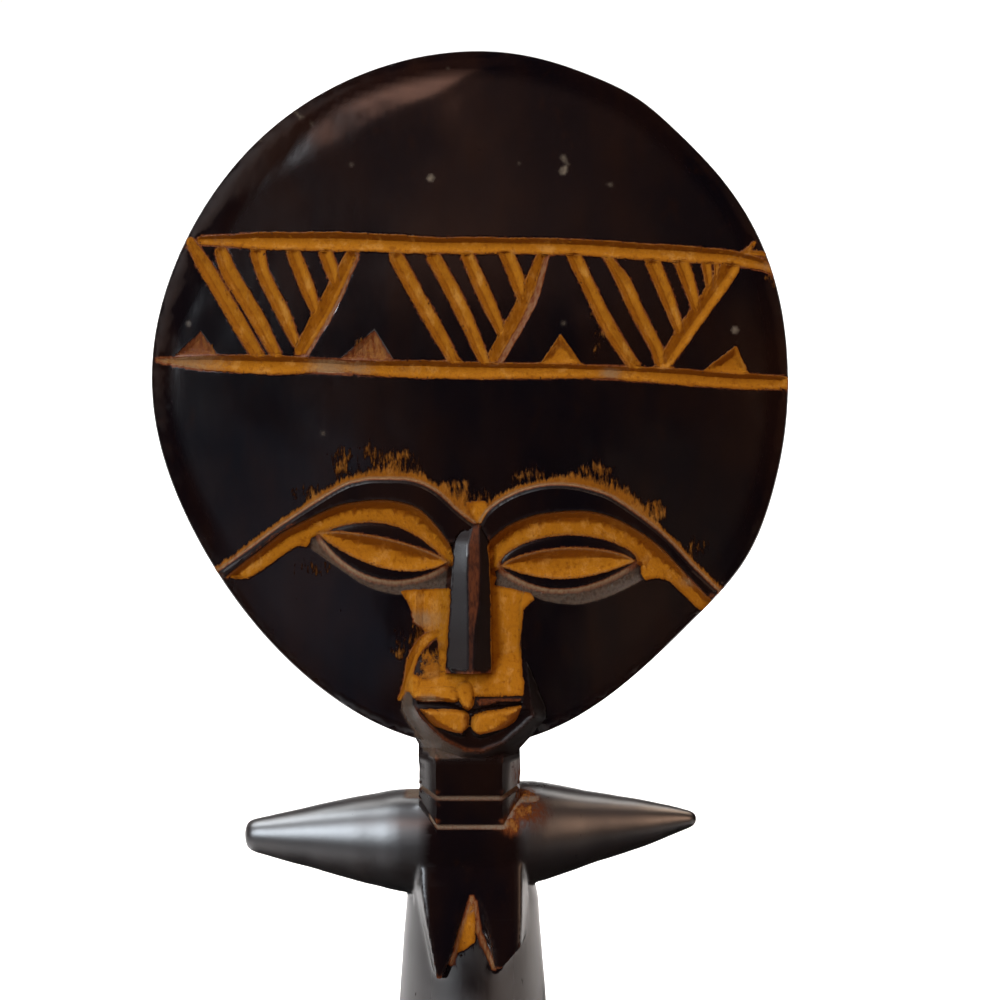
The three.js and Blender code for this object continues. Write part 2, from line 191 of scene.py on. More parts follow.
def swelling(depth, edge):
    """0 outside, rising towards 1 inside over an edge of a width, as carved wood rounds up."""
    return 1 - np.exp(-np.maximum(depth, 0) / edge)


def soft_depth(t, edge=0.04):
    """t where it is above zero and nothing below it, rounded over the edge."""
    return 0.5 * (t + np.sqrt(t * t + edge * edge))


# The plain head


def rim_radius(angle):
    rise = np.sin(angle)
    drawn = np.where(
        rise > 0,
        (HEAD_TOP_RADIUS - HEAD_SIDE_RADIUS) * rise**2,
        (HEAD_CHIN_RADIUS - HEAD_SIDE_RADIUS) * np.abs(rise) ** 7.5,
    )
    waves = sum(h * np.cos(k * angle - math.radians(turn)) for h, k, turn in RIM_WAVES)
    degrees = np.degrees(angle)
    full = sum(h * np.exp(-(((degrees - at) / spread) ** 2)) for at, spread, h in FULL_PLACES)
    return HEAD_SIDE_RADIUS + drawn + waves + full


def rim_share(p):
    """How far out on the head each point is, 1 at the rim."""
    return np.hypot(*p.T) / rim_radius(np.arctan2(p[:, 1], p[:, 0]))


def shaved(p):
    """How much the flat at the upper left takes off the face."""
    way, start, slope = SHAVED
    return slope * np.maximum(p @ np.array(way) - start, 0)


def plain_face(p):
    """Height of the face before carving, with the slow unevenness of hand work."""
    share = rim_share(p)
    edge = np.clip((share - EDGE_START) / (1 - EDGE_START), 0, 0.999)
    uneven = wander(p[:, 0] / 9, 1) * wander(p[:, 1] / 11, 2) + wander(p.sum(1) / 15, 3)
    return (
        RIM_FRONT
        + FRONT_CROWN * (1 - np.minimum(share, 1) ** 2)
        - EDGE_DROP * (1 - np.sqrt(1 - edge**2))
        - shaved(p)
        + 0.09 * uneven * (1 - ramp(share, 0.9, 0.975))
    )


# Knife cuts


class Cut:
    """One V-shaped knife cut along a path, with its widths from start to end. Places across it
    are counted from -1 at its right edge to 1 at its left: the valley has one, and the ochre
    lies between two. What the ochre leaves free is bare wood."""

    def __init__(self, path, widths, valley=0.0, ochre=(-1, 1), steep=0.75, seed=0):
        self.path, self.widths = through(path, 2.0), widths
        self.valley, self.ochre, self.steep, self.seed = valley, ochre, steep, seed
        steps = np.linalg.norm(np.diff(self.path, axis=0), axis=1)
        self.at = np.r_[0, np.cumsum(steps)]

    def half(self, along):
        width = np.interp(along, np.linspace(0, self.at[-1], len(self.widths)), self.widths)
        return 0.5 * width * (1 + 0.07 * wander(along / 2.6, self.seed))

    def line(self, share):
        """The cut's left edge for a share of 1, its right edge for -1."""
        return shifted(self.path, share * self.half(self.at))

    def place(self, p):
        """Where each point is across the cut, and the half-width of the cut there."""
        across, half = np.full(len(p), 9.0), np.full(len(p), 0.5)
        low, high = self.path.min(0) - 4, self.path.max(0) + 4
        near = np.flatnonzero(((p > low) & (p < high)).all(1))
        q, best = p[near], np.full(len(near), FAR)
        for a, b, at in zip(self.path[:-1], self.path[1:], self.at):
            ab = b - a
            t = np.clip((q - a) @ ab / (ab @ ab), 0, 1)
            away = q - a - t[:, None] * ab
            gap = np.linalg.norm(away, axis=1)
            wide = self.half(at + t * np.linalg.norm(ab))
            side = np.sign(ab[0] * away[:, 1] - ab[1] * away[:, 0])
            nearer = gap < best
            best = np.where(nearer, gap, best)
            across[near] = np.where(nearer, side * gap / wide, across[near])
            half[near] = np.where(nearer, wide, half[near])
        return across, half

    def depth(self, p):
        across, half = self.place(p)
        wall = np.minimum((1 - across) / (1 - self.valley), (1 + across) / (1 + self.valley))
        deep = soft_depth(self.steep * half * np.maximum(wall, -3))
        return np.minimum(deep, 0.94 * self.steep * half)

    def marks(self, p):
        """How far each point lies inside the cut's ochre, inside the cut and from its valley."""
        across, half = self.place(p)
        low, high = self.ochre
        ochre = half * np.minimum(high - across, across - low)
        return ochre, half * (1 - np.abs(across)), half * np.abs(across - self.valley)


def knife_cuts():
    """The band's two long lines, the strokes of its three hatched triangles, two slips of the
    knife at its right end, and the fold of the left cheek."""
    top = (
        (-64.4, 34.2), (-48.7, 34.0), (-28.2, 33.6), (-9.9, 32.8), (4.3, 32.7), (24.0, 32.4),
        (38.7, 31.5), (53.4, 30.7), (62.3, 30.0), (69.2, 28.4), (73.0, 26.8),
    )
    foot = (
        (-75.2, 5.7), (-71.0, 5.4), (-59.8, 4.9), (-48.7, 4.5), (-34.9, 4.2), (-26.6, 3.7),
        (-9.9, 3.3), (4.3, 3.0), (24.0, 2.9), (38.7, 2.3), (48.5, 1.7), (60.8, 0.8), (75.8, 0.3),
    )
    top_widths = (1.8, 3.6, 4.1, 4.0, 3.5, 3.4, 3.4, 3.5, 3.6, 3.2, 2.2)
    foot_widths = (0.7, 3.4, 4.3, 4.0, 3.2, 3.6, 4.0, 3.6, 3.4, 3.0, 2.8, 3.3, 3.4, 3.3, 2.8)
    cuts = [Cut(top, top_widths, 0.4, seed=1), Cut(foot, foot_widths, 0.4, seed=2)]
    strokes = (
        (((-67.3, 34.2), (-60.4, 22.8), (-50.8, 6.6)), (1.8, 3.0, 3.1, 3.2, 3.1, 2.7)),
        (((-59.7, 31.6), (-57.5, 26.2), (-51.7, 16.7), (-46.5, 7.0)), (2.7, 3.4, 3.3, 3.0, 2.3)),
        (((-50.9, 31.0), (-49.3, 25.6), (-44.8, 16.7), (-41.6, 9.6)), (3.0, 2.7, 2.8, 2.6, 1.6)),
        (((-42.4, 31.0), (-39.9, 25.0), (-37.0, 17.2)), (2.9, 3.1, 2.8, 1.8)),
        (((-34.7, 31.0), (-33.5, 27.8), (-32.3, 23.8)), (2.9, 2.7, 1.7)),
        (((-17.9, 30.0), (-13.7, 22.3), (-9.0, 14.0), (-4.0, 5.0)), (2.8, 3.1, 3.0, 2.8, 2.3)),
        (((-9.1, 30.0), (-4.8, 22.3), (-0.8, 14.0), (3.3, 4.6)), (2.8, 3.2, 3.0, 2.8, 2.0)),
        (((-1.0, 30.2), (2.5, 22.3), (7.0, 12.4)), (2.7, 2.8, 2.8, 2.0)),
        (((8.2, 30.7), (10.0, 26.6), (12.3, 19.8)), (2.9, 3.0, 2.2)),
        (((24.4, 30.0), (27.9, 22.7), (32.5, 13.4), (38.6, 4.0)), (2.8, 2.9, 2.9, 2.6)),
        (((32.1, 30.2), (36.0, 24.2), (39.4, 16.8), (43.8, 8.5), (45.0, 4.6)),
         (1.4, 3.0, 2.8, 2.7, 2.3)),
        (((43.1, 28.7), (46.0, 21.7), (49.6, 12.2)), (3.2, 2.8, 2.0)),
        (((49.9, 28.7), (51.7, 23.7), (53.6, 17.2)), (3.0, 2.6, 1.8)),
        (((55.8, 28.4), (56.6, 23.2)), (1.9, 1.5)),
        (((58.2, 28.2), (58.2, 25.4)), (0.8, 0.7)),
    )
    closing = (
        (((-28.4, 30.3), (-33.5, 19.8), (-40.2, 7.9)), (2.8, 3.9, 4.1, 3.4), 0.55),
        (((16.8, 30.2), (12.9, 19.3), (5.6, 5.8)), (2.6, 4.0, 4.3, 3.3), 0.25),
        (((61.6, 27.8), (56.4, 20.2), (50.7, 12.2), (46.0, 5.2)), (4.1, 4.0, 3.8, 3.2), 1),
    )
    cuts += [Cut(path, widths, -0.2, seed=i + 3) for i, (path, widths) in enumerate(strokes)]
    cuts += [
        Cut(path, widths, 0.1, ochre=(-1, end), seed=i + 20)
        for i, (path, widths, end) in enumerate(closing)
    ]
    cuts.append(Cut(((62.7, 29.8), (65.6, 31.8), (67.4, 33.8)), (1.2, 0.9, 0.4), steep=0.4))
    cuts.append(Cut(((65.4, 31.4), (70.4, 31.0)), (0.9, 0.6), steep=0.4))
    fold = ((-7.8, -58.9), (-10.4, -60.4), (-12.6, -62.6), (-14.3, -65.8), (-15.0, -69.0),
            (-15.9, -72.0), (-17.2, -75.0))
    cuts.append(Cut(fold, (1.6, 2.3, 2.2, 1.9, 1.5, 1.0, 0.5), steep=0.35, seed=24))
    return cuts


CUTS = knife_cuts()
CHIPS = (  # corners of the four small notches on the foot line, and how brown each one is
    (((-64.5, 12.8), (-71.2, 6.6), (-60.0, 6.6)), 0.75),
    (((-23.0, 13.0), (-31.5, 5.8), (-18.0, 5.0)), 0.8),
    (((21.0, 11.4), (16.4, 4.6), (25.6, 4.8)), 0.0),
    (((62.8, 8.8), (55.4, 3.2), (66.0, 2.0)), 0.0),
)


# The face. Each side has the same features, with its own measures.


def almond(centre, half, slant, *edges):
    """The upper and the lower edge of an almond, each from its left corner to its right. An edge
    is its height, how pointed it is, and how much fuller it is to the right."""
    t = np.linspace(-1, 1, 41)
    turn = math.radians(slant)
    spin = np.array([[math.cos(turn), math.sin(turn)], [-math.sin(turn), math.cos(turn)]])
    return [
        np.column_stack([half * t, height * (1 - t**2) ** pointed * (1 + fuller * t)]) @ spin
        + np.array(centre)
        for height, pointed, fuller in edges
    ]


class Side:
    """The outlines of one side of the face."""

    def __init__(self, brow_top, brow_foot, rim, eye, cheek, cheek_slope, cheek_ochre, smear):
        self.brow_top, self.brow_foot, self.rim = through(brow_top), through(brow_foot), through(rim)
        self.brow = np.vstack([self.brow_top, self.brow_foot[::-1]])
        self.socket = np.vstack([self.brow_foot, self.rim])
        middle, slant, lids, slit = eye
        self.eye_middle, self.eye_slope = middle, math.tan(math.radians(slant))
        top, foot = almond(middle, lids[0], slant, *lids[1:])
        self.lids = np.vstack([top, foot[-2:0:-1]])
        self.slit_top, self.slit_foot = almond(middle, slit[0], slant, *slit[1:])
        self.slit = np.vstack([self.slit_top, self.slit_foot[-2:0:-1]])
        self.cheek, self.cheek_slope = np.array(cheek, float), cheek_slope
        self.cheek_ochre, self.smear = np.array(cheek_ochre, float), smear

    def eye_line(self, u):
        """Height of the line through both corners of the eye."""
        return self.eye_middle[1] + self.eye_slope * (u - self.eye_middle[0])

    def lines(self):
        side = math.copysign(1, self.brow_top[-1, 0])
        return [
            self.brow_top, shifted(self.brow_top, 0.4 * side),
            shifted(self.brow_top, -0.7 * side), shifted(self.brow_top, -1.3 * side),
            self.brow_foot, shifted(self.brow_foot, 0.5 * side),
            closed(self.socket), closed(self.lids), closed(shifted(self.lids, -0.6)),
            closed(self.slit), closed(shifted(self.slit, 0.35)), dense(closed(self.cheek)),
            shifted(dense(closed(self.cheek)), -CHEEK_DEPTH / self.cheek_slope),
        ]

    def carve(self, p, height, ground):
        socket = depth_in(p, self.socket)
        lids = depth_in(p, self.lids)
        groove = np.minimum(0.62 * np.maximum(-lids, 0) + 0.05, 0.55 * distance_to(p, self.rim))
        groove = np.minimum(np.minimum(groove, 1.1 * distance_to(p, self.brow_foot)), 2.0)
        height = np.where(socket > 0, ground - groove, height)
        cheek = depth_in(p, self.cheek)
        sunk = ground - np.minimum(self.cheek_slope * cheek, CHEEK_DEPTH)
        height = np.where(cheek > 0, np.minimum(height, sunk), height)
        height = np.where(lids > 0, ground + LID_LIFT * swelling(lids, 0.7), height)
        inside = depth_in(p, self.slit) > 0
        slit = np.minimum(distance_to(p, self.slit_top), 0.62 * distance_to(p, self.slit_foot))
        height = np.where(inside, height - np.minimum(slit, 1.9), height)
        brow = depth_in(p, self.brow) > 0
        bevel = distance_to(p, self.brow_top) / 1.3
        drop = distance_to(p, self.brow_foot) / 0.5
        rise = np.minimum(np.minimum(bevel, drop), 1)
        rise = rise * (1.6 - 0.6 * rise)
        fade = 1 - 0.65 * ramp(rim_share(p), 0.75, 0.97)
        return np.where(brow, ground + BROW_LIFT * fade * rise, height)


LEFT = Side(
    brow_top=((1.5, -33.5), (-3.3, -29.8), (-8.3, -25.3), (-13.7, -22.8), (-20.6, -22.3),
              (-26.3, -22.7), (-32.2, -24.8), (-45.1, -33.1), (-53, -38.8), (-63, -46)),
    brow_foot=((-5.2, -38.6), (-8.3, -34.2), (-11.6, -30.8), (-14.7, -29.0), (-20.6, -27.9),
               (-27.5, -28.4), (-33.1, -29.8), (-43.7, -35), (-49.2, -39), (-58.4, -46)),
    rim=((-53.4, -46.2), (-47.9, -42.6), (-44, -39.8), (-39.9, -38.4), (-32.4, -43.1),
         (-25.4, -47.7), (-18.5, -49.8), (-13.9, -49.5), (-3, -49)),
    eye=((-21, -38.9), -12.6, (16.2, (5.9, 1.1, 0), (-7.7, 0.9, 0.05)),
         (15.4, (2.0, 0.8, 0), (-4.4, 0.85, 0.2))),
    cheek=((-3, -44), (-3, -73), (-16.5, -75.5), (-15.2, -66), (-13.4, -58), (-13.2, -48)),
    cheek_slope=0.5,
    cheek_ochre=((-16.5, -47), (-11.3, -46.2), (-3, -44.4), (-3, -70), (-7.4, -70), (-8.0, -64),
                 (-8.7, -59.4), (-11.3, -59), (-14, -56.6), (-15.2, -52), (-16.9, -49.4)),
    smear=((-62, 1.0), (-45, 1.0), (-33, 1.4), (-26, 2.0), (-19, 2.6), (-14, 1.8), (-8, 1.8),
           (-3, 3.0), (1.5, 3.4)),
)
RIGHT = Side(
    brow_top=((1.5, -33.5), (3.2, -30.4), (6.7, -27.5), (11.5, -25.2), (17.4, -23.8),
              (23.2, -23.8), (28.6, -24.9), (34.4, -27.3), (44.9, -35.0), (54, -44.3), (61, -51)),
    brow_foot=((4.2, -37.7), (8.7, -34), (14.7, -31.6), (20.6, -30.7), (27, -30.5),
               (33, -31.9), (39.1, -35), (44.6, -39), (50.1, -44.6), (58, -52.8)),
    rim=((54.6, -54), (49.4, -49), (45.8, -46.3), (41.3, -46.4), (34.2, -49.7), (29.1, -51.5),
         (24.5, -52.3), (18, -51.5), (13.3, -49.9), (3, -48)),
    eye=((22.9, -42.7), 2.0, (16.9, (7.0, 0.62, -0.05), (-6.2, 1.0, -0.15)),
         (15.5, (3.5, 0.75, 0), (-3.3, 1.1, -0.1))),
    cheek=((3, -44), (12.6, -49), (11.8, -52.5), (11.8, -71.5), (13, -75), (3, -75)),
    cheek_slope=1.6,
    cheek_ochre=((3, -43.6), (13.6, -48.0), (14.8, -51.2), (12.4, -53.4), (11.6, -60),
                 (11.8, -65.5), (12.2, -71.4), (3, -71.4)),
    smear=((1.5, 3.2), (3, 2.0), (8, 1.1), (17, 1.2), (24, 2.6), (31, 3.0), (39, 3.2), (43, 1.2),
           (48, 1.0), (61, 1.4)),
)


def carved_face(p):
    """Height of the front of the head at each point."""
    ground = plain_face(p)
    keep = 1 - ramp(rim_share(p), 0.978, FACE_END)
    cut = np.zeros(len(p))
    for knife in CUTS:
        cut = np.maximum(cut, knife.depth(p))
    for outline, _ in CHIPS:
        cut = np.maximum(cut, np.clip(0.8 * depth_in(p, np.array(outline)), 0, CHIP_DEPTH))
    height = ground - cut * keep
    for side in (LEFT, RIGHT):
        height = side.carve(p, height, ground)
    return height - 0.4 * np.maximum(CUTS[-1].depth(p) - 0.05, 0)


def face_lines():
    lines = [knife.line(share) for knife in CUTS for share in (-1.2, -1, -0.8, 0.8, 1, 1.2)]
    lines += [knife.line(knife.valley) for knife in CUTS]
    for outline, _ in CHIPS:
        edges = closed(np.array(outline, float))
        lines += [dense(edges[i:i + 2]) for i in range(3)]
    return lines + LEFT.lines() + RIGHT.lines()


# Surfaces over the plane of the head


def hexagonal(low, high, step):
    """Points of a regular triangular grid between two corners, nudged off the straight."""
    rows = np.arange(low[1], high[1], step * math.sqrt(3) / 2)
    across = np.arange(low[0], high[0], step)
    u, v = np.meshgrid(across, rows)
    u = u + 0.5 * step * (np.arange(len(rows)) % 2)[:, None]
    p = np.column_stack([u.ravel(), v.ravel()])
    return p + 0.12 * step * np.column_stack([wander(7 * p[:, 1], 1), wander(7 * p[:, 0], 2)])


def gap_to(drawn, p):
    """Distance from each point to the nearest drawn one."""
    tree = KDTree(len(drawn))
    for i, point in enumerate(drawn):
        tree.insert((*point, 0), i)
    tree.balance()
    return np.array([tree.find((*q, 0))[2] if len(drawn) else FAR for q in p])


def triangulated(outline, lines, grid):
    """Vertices and triangles inside a closed outline that keep to the given lines. The grid is
    the size of the triangles beside the lines, their size elsewhere, and how far beside reaches."""
    fine, coarse, reach = grid
    lines = [line[depth_in(line, outline) > 0.35] for line in lines]
    lines = [line for line in lines if len(line) > 1]
    drawn = np.vstack(lines) if lines else np.zeros((0, 2))
    low, high = outline.min(0), outline.max(0)
    near_grid = hexagonal(low, high, fine)
    far_grid = hexagonal(low, high, coarse)

    near_gap, far_gap = gap_to(drawn, near_grid), gap_to(drawn, far_grid)
    fill = np.vstack([
        near_grid[(near_gap < reach) & (near_gap > 0.45 * fine)],
        far_grid[far_gap >= reach],
    ])
    fill = fill[depth_in(fill, outline) > 0.4 * coarse]
    points, edges = [*outline], []
    count = len(outline)
    edges += [(i, (i + 1) % count) for i in range(count)]
    for line in lines:
        start = len(points)
        steps = np.linalg.norm(np.diff(line, axis=0), axis=1)
        edges += [(start + i, start + i + 1) for i in range(len(line) - 1) if steps[i] < 2.5]
        points += [*line]
    points += [*fill]
    made = delaunay_2d_cdt([Vector(p) for p in points], edges, [], 1, 1e-4)
    return np.array([tuple(v) for v in made[0]]), made[2]


def mesh_from(name, vertices, faces):
    mesh = bpy.data.meshes.new(name)
    mesh.from_pydata([tuple(v) for v in vertices], [], [tuple(f) for f in faces])
    mesh.validate()
    obj = bpy.data.objects.new(name, mesh)
    bpy.context.scene.collection.objects.link(obj)
    return obj


def boundary_order(faces):
    """The open edge of a triangulated sheet as a loop of vertex numbers, in face order."""
    edges = {(f[i], f[(i + 1) % len(f)]) for f in faces for i in range(len(f))}
    following = {a: b for a, b in edges if (b, a) not in edges}
    loop = [next(iter(following))]
    while following[loop[-1]] != loop[0]:
        loop.append(following[loop[-1]])
    return loop


def facing_up(vertices, faces):
    a, b, c = (vertices[[f[i] for f in faces]] for i in range(3))
    area = np.cross(b - a, c - a)
    return [f if up > 0 else f[::-1] for f, up in zip(faces, area)]


def block(name, outline, lines, height, floor, grid, rim_rows=()):
    """A solid with a carved top over an outline in the head's plane. Its side runs through the
    rim rows to a floor of its own height. A row is the outline's scale, its height and 1 if the
    shaved flat reaches it."""
    flat, faces = triangulated(outline, lines, grid)
    faces = facing_up(flat, faces)
    top = np.column_stack([flat, height(flat)])
    loop = boundary_order(faces)
    vertices, count = [top], len(loop)
    total = len(top)
    previous = loop
    for scale, level, cut in rim_rows:
        ring = flat[loop] * scale
        vertices.append(np.column_stack([ring, level - cut * shaved(ring)]))
        current = list(range(total, total + count))
        for i in range(count):
            j = (i + 1) % count
            faces.append((previous[i], current[i], current[j], previous[j]))
        previous, total = current, total + count
    last = vertices[-1][:, :2] if rim_rows else flat[loop]
    under, under_faces = triangulated(last, [], (grid[1] * 2, grid[1] * 2, grid[2]))
    under_faces = facing_up(under, under_faces)
    under_loop = boundary_order(under_faces)
    vertices.append(np.column_stack([under, floor(under)]))
    faces += [tuple(total + i for i in f[::-1]) for f in under_faces]
    # The floor's loop starts elsewhere, so it is turned to start nearest the side's first point
    first = np.argmin(np.linalg.norm(under[under_loop] - last[0], axis=1))
    under_loop = [total + i for i in under_loop[first:] + under_loop[:first]]
    for i in range(count):
        j = (i + 1) % count
        faces.append((previous[i], under_loop[i], under_loop[j], previous[j]))
    return mesh_from(name, np.vstack(vertices), faces)


def head_disc():
    angle = np.linspace(-math.pi, math.pi, 361)[:-1]
    radius = rim_radius(angle) * FACE_END
    outline = np.column_stack([radius * np.cos(angle), radius * np.sin(angle)])
    rows = []
    for turn in np.radians((50, 62, 75, 90)):
        share = EDGE_START + (1 - EDGE_START) * math.sin(turn)
        rows.append((share / FACE_END, RIM_FRONT - EDGE_DROP * (1 - math.cos(turn)), 1))
    for turn in np.radians((90, 70, 50, 30, 12)):
        share = EDGE_START + (1 - EDGE_START) * math.sin(turn)
        rows.append((share / FACE_END, 3.0 * (1 - math.cos(turn)) - RIM_BACK, 0))

    def back(p):
        share = np.minimum(rim_share(p), 1)
        return -RIM_BACK - BACK_CROWN * (1 - share**2) - 0.15 * wander(p.sum(1) / 12, 6)

    grid = (FINE, COARSE, FINE_REACH)
    return block("head", outline, face_lines(), carved_face, back, grid, rows)


# The mouth, a block of its own that stands on the chin


def rounded(*corners):
    """A smooth closed outline through its corners, sharp only at the first."""
    return through([*corners, corners[0]], 0.5)[:-1]


JAW = np.array((
    (-13.4, -64), (-14.0, -70), (-13.6, -76), (-12.4, -78.6), (-9.6, -81.6), (-6.6, -84.3),
    (-1.6, -86.8), (2.4, -87.1), (7.6, -85.0), (11.9, -81.3), (14.6, -78.6), (13.6, -70.5), (12.8, -64),
))
JAW_FOOT = np.array((
    (-14.6, -62), (-16.6, -70), (-17.2, -76.8), (-16.2, -80.8), (-13.6, -84.5), (-11.8, -87.5),
    (-9.0, -89.8), (9, -89.8), (11.4, -86.8), (14.5, -83.5), (17.6, -79.6), (18, -77), (16.4, -70),
    (14, -62),
))
UPPER_LIPS = (
    rounded((-14.4, -74.7), (-12.4, -72.2), (-8, -71.6), (-3.9, -72), (-3, -74.6), (-3.8, -75.5),
            (-7.6, -74.9)),
    rounded((12.3, -74.4), (11.4, -75.3), (6.6, -75.6), (2.0, -76.5), (1.3, -74.6), (6.5, -74.1)),
)
PHILTRUM = rounded((-0.7, -77.3), (-2.3, -76.2), (-3.7, -73), (-3.2, -70.8), (-0.4, -70.8),
                   (0.6, -73.4), (0.2, -76))
LOWER_LIPS = (
    rounded((-12.2, -77.0), (-6.5, -77.0), (-1.6, -77.6), (-0.8, -79.4), (-1.1, -82.0),
            (-2.2, -83.6), (-5.5, -82.7), (-9.3, -80.4)),
    rounded((11.6, -76.3), (10.6, -79), (8.3, -81.2), (5.3, -83), (2, -84), (0.2, -83),
            (-0.1, -80.6), (0.6, -78.6), (3, -77.7)),
)
PARTING = through(((-12.4, -75.4), (-5.6, -75.9), (-2.3, -77.1), (-0.9, -77.9), (3.0, -76.9),
                   (8.7, -76.2), (11.6, -75.9)))


def mouth_height(p):
    v, inside = p[:, 1], depth_in(p, JAW)
    lift = -1.4 + (JAW_LIFT + 1.4) * np.clip((-63.5 - v) / 13.5, 0, 1) ** 0.85
    side = np.maximum(-inside, 0)
    slope = 1.45 - 0.4 * ramp(-v, 84, 87)
    height = lift - slope * side + 0.25 * np.minimum(inside, 2) / 2
    for lip in UPPER_LIPS:
        height += np.where(inside > 0, 1.1 * swelling(depth_in(p, lip), 0.45), 0)
    height += 1.1 * swelling(depth_in(p, PHILTRUM), 0.5)
    height -= 0.9 * swelling(inside, 0.9) * ramp(-v, 76.5, 79)
    for lobe in LOWER_LIPS:
        d = np.minimum(np.maximum(depth_in(p, lobe), 0) / 1.5, 1)
        height += 1.9 * (1 - (1 - d) ** 2)
    height -= 0.8 * np.clip(1 - distance_to(p, PARTING) / 0.55, 0, 1)
    crown = RIM_FRONT + FRONT_CROWN * (1 - np.minimum(rim_share(p), 1) ** 2)
    return crown + height


def mouth():
    shapes = [JAW, *UPPER_LIPS, PHILTRUM, *LOWER_LIPS]
    lines = [dense(line) for line in [*map(closed, shapes), PARTING]]
    outline = dense(closed(JAW_FOOT))[:-1]

    def back(p):
        return np.full(len(p), -3.5)

    return block("mouth", outline, lines, mouth_height, back, (0.5, 1.0, 1.5))


# Lofted solids


def loft(name, rings):
    """A closed skin over rings of points, each with the same count."""
    rings = np.array(rings, float)
    rows, count = rings.shape[:2]
    index = np.arange(rows * count).reshape(rows, count)
    beside = np.roll(index, -1, 1)
    faces = np.stack([index[:-1], beside[:-1], beside[1:], index[1:]], -1).reshape(-1, 4)
    faces = [*faces.tolist(), index[0, ::-1].tolist(), index[-1].tolist()]
    obj = mesh_from(name, rings.reshape(-1, 3), faces)
    made = bmesh.new()
    made.from_mesh(obj.data)
    bmesh.ops.triangulate(made, faces=made.faces)
    bmesh.ops.recalc_face_normals(made, faces=made.faces)
    if made.calc_volume(signed=True) < 0:
        bmesh.ops.reverse_faces(made, faces=made.faces)
    made.to_mesh(obj.data)
    made.free()
    return obj


def finer(rings, step):
    """The rings with points added between their own, at most a step apart."""
    rings = np.array(rings, float)
    gaps = np.linalg.norm(np.roll(rings, -1, 1) - rings, axis=2).max(0)
    counts = np.maximum(1, np.ceil(gaps / step).astype(int))
    out = []
    for ring in rings:
        following = np.roll(ring, -1, 0)
        out.append(np.vstack([
            a + (b - a) * np.arange(n)[:, None] / n for a, b, n in zip(ring, following, counts)
        ]))
    return out


def between(stations, step):
    """Rows of numbers at even steps of the first one, straight between the given stations."""
    stations = np.array(stations, float)
    at = [stations[0, 0]]
    for a, b in zip(stations[:-1, 0], stations[1:, 0]):
        at += list(np.linspace(a, b, max(2, round(abs(b - a) / step) + 1))[1:])
    order = 1 if stations[-1, 0] > stations[0, 0] else -1
    return np.column_stack([at] + [
        np.interp(np.array(at) * order, stations[:, 0] * order, stations[:, k])
        for k in range(1, stations.shape[1])
    ])


NOSE_TOP, NOSE_TIP = -33, -68.7
NOSE = (  # v, its left and right edge, the ridge's left and right edge, the ridge's lift
    (-33.6, -2.0, 2.9, 0.3, 1.9, 1.7), (-38, -4.2, 3.9, -1.0, 2.0, 3.0),
    (-45, -4.8, 4.4, -1.1, 2.2, 4.1), (-52, -5.2, 4.6, -0.9, 1.9, 5.0),
    (-58, -5.6, 4.6, -0.8, 0.9, 5.9), (-68.5, -6.4, 4.7, -0.8, 0.3, 7.4),
)


def nose():
    rings = []
    for v, left, right, ridge_left, ridge_right, lift in between(NOSE, 0.8):
        sway = 0.1 * wander(v / 4, 3)
        ground = plain_face(np.array([[0, v]]))[0]
        rings.append([
            (u + sway, v, ground + w) for u, w in (
                (left, -3), (left, 0.5 * lift), (ridge_left, lift - 0.15), (ridge_right, lift),
                (right, 0.45 * lift), (right, -3),
            )
        ])
    return loft("nose", finer(rings, 0.8))


def eight_sided(z, half, front, back, saddle, corner):
    """A level section with broad flats in front and behind, and cut corners."""
    points = (
        (-1, front + corner), (-1 + corner / half, front), (1 - corner / half, front),
        (1, front + corner), (1, back - corner), (1 - corner / half, back),
        (-1 + corner / half, back), (-1, back - corner),
    )
    ring = []
    for i, (share, y) in enumerate(points):
        x = share * half + NECK_X + 0.15 * wander(z / 3, i)
        ring.append((x, y + 0.12 * wander(z / 4, i + 9), z + (saddle if abs(share) == 1 else 0)))
    return ring


def neck():
    half, front, back, corner = NECK_HALF, -10.6, 10.4, NECK_CORNER
    rows = [(118, 13, -11, 11, 0, corner), (140, 12.1, -10.9, 10.6, 0, corner)]
    for z, climb in RINGS:
        for rise, cut in ((-0.75, 0), (-0.15, 0.85), (0.15, 0.85), (0.75, 0)):
            rows.append((z + rise, half - cut, front + cut, back - cut, climb, corner))
    rows += [
        (156, half, front, back, 0.6, corner), (162.6, half, front - 0.4, back, 0, corner),
        (165, half, -8.6, 10.6, 0, corner), (172, half, -5, 11.8, 0, corner),
        (182, 9.4, 0, 12.8, 0, corner), (190, 6.2, 3, 12.8, 0, 3.5), (195, 4, 5, 12, 0, 2.4),
    ]
    return loft("neck", finer([eight_sided(*row) for row in between(rows, 0.9)], 0.9))


# The body: arms, chest, breasts, column and base, melted together as one skin


ARMS = (  # side, height, how far it rises to its tip, its radius at distances from the middle
    (-1, 137.7, 2.0, ((0, ARM_ROOT), (8, ARM_ROOT), (17.3, 12.5), (24, 11.2), (31.8, 9.4),
                      (45.4, 6.0), (50, 4.8), (53.4, 3.9), (54.8, 2.8), (55.3, 0.6))),
    (1, 139.2, 4.6, ((0, ARM_ROOT), (8, ARM_ROOT), (15.6, 12.3), (28.4, 9.0), (42.3, 5.5),
                     (51.8, 2.5), (53.8, 1.6), (54.6, 0.3))),
)


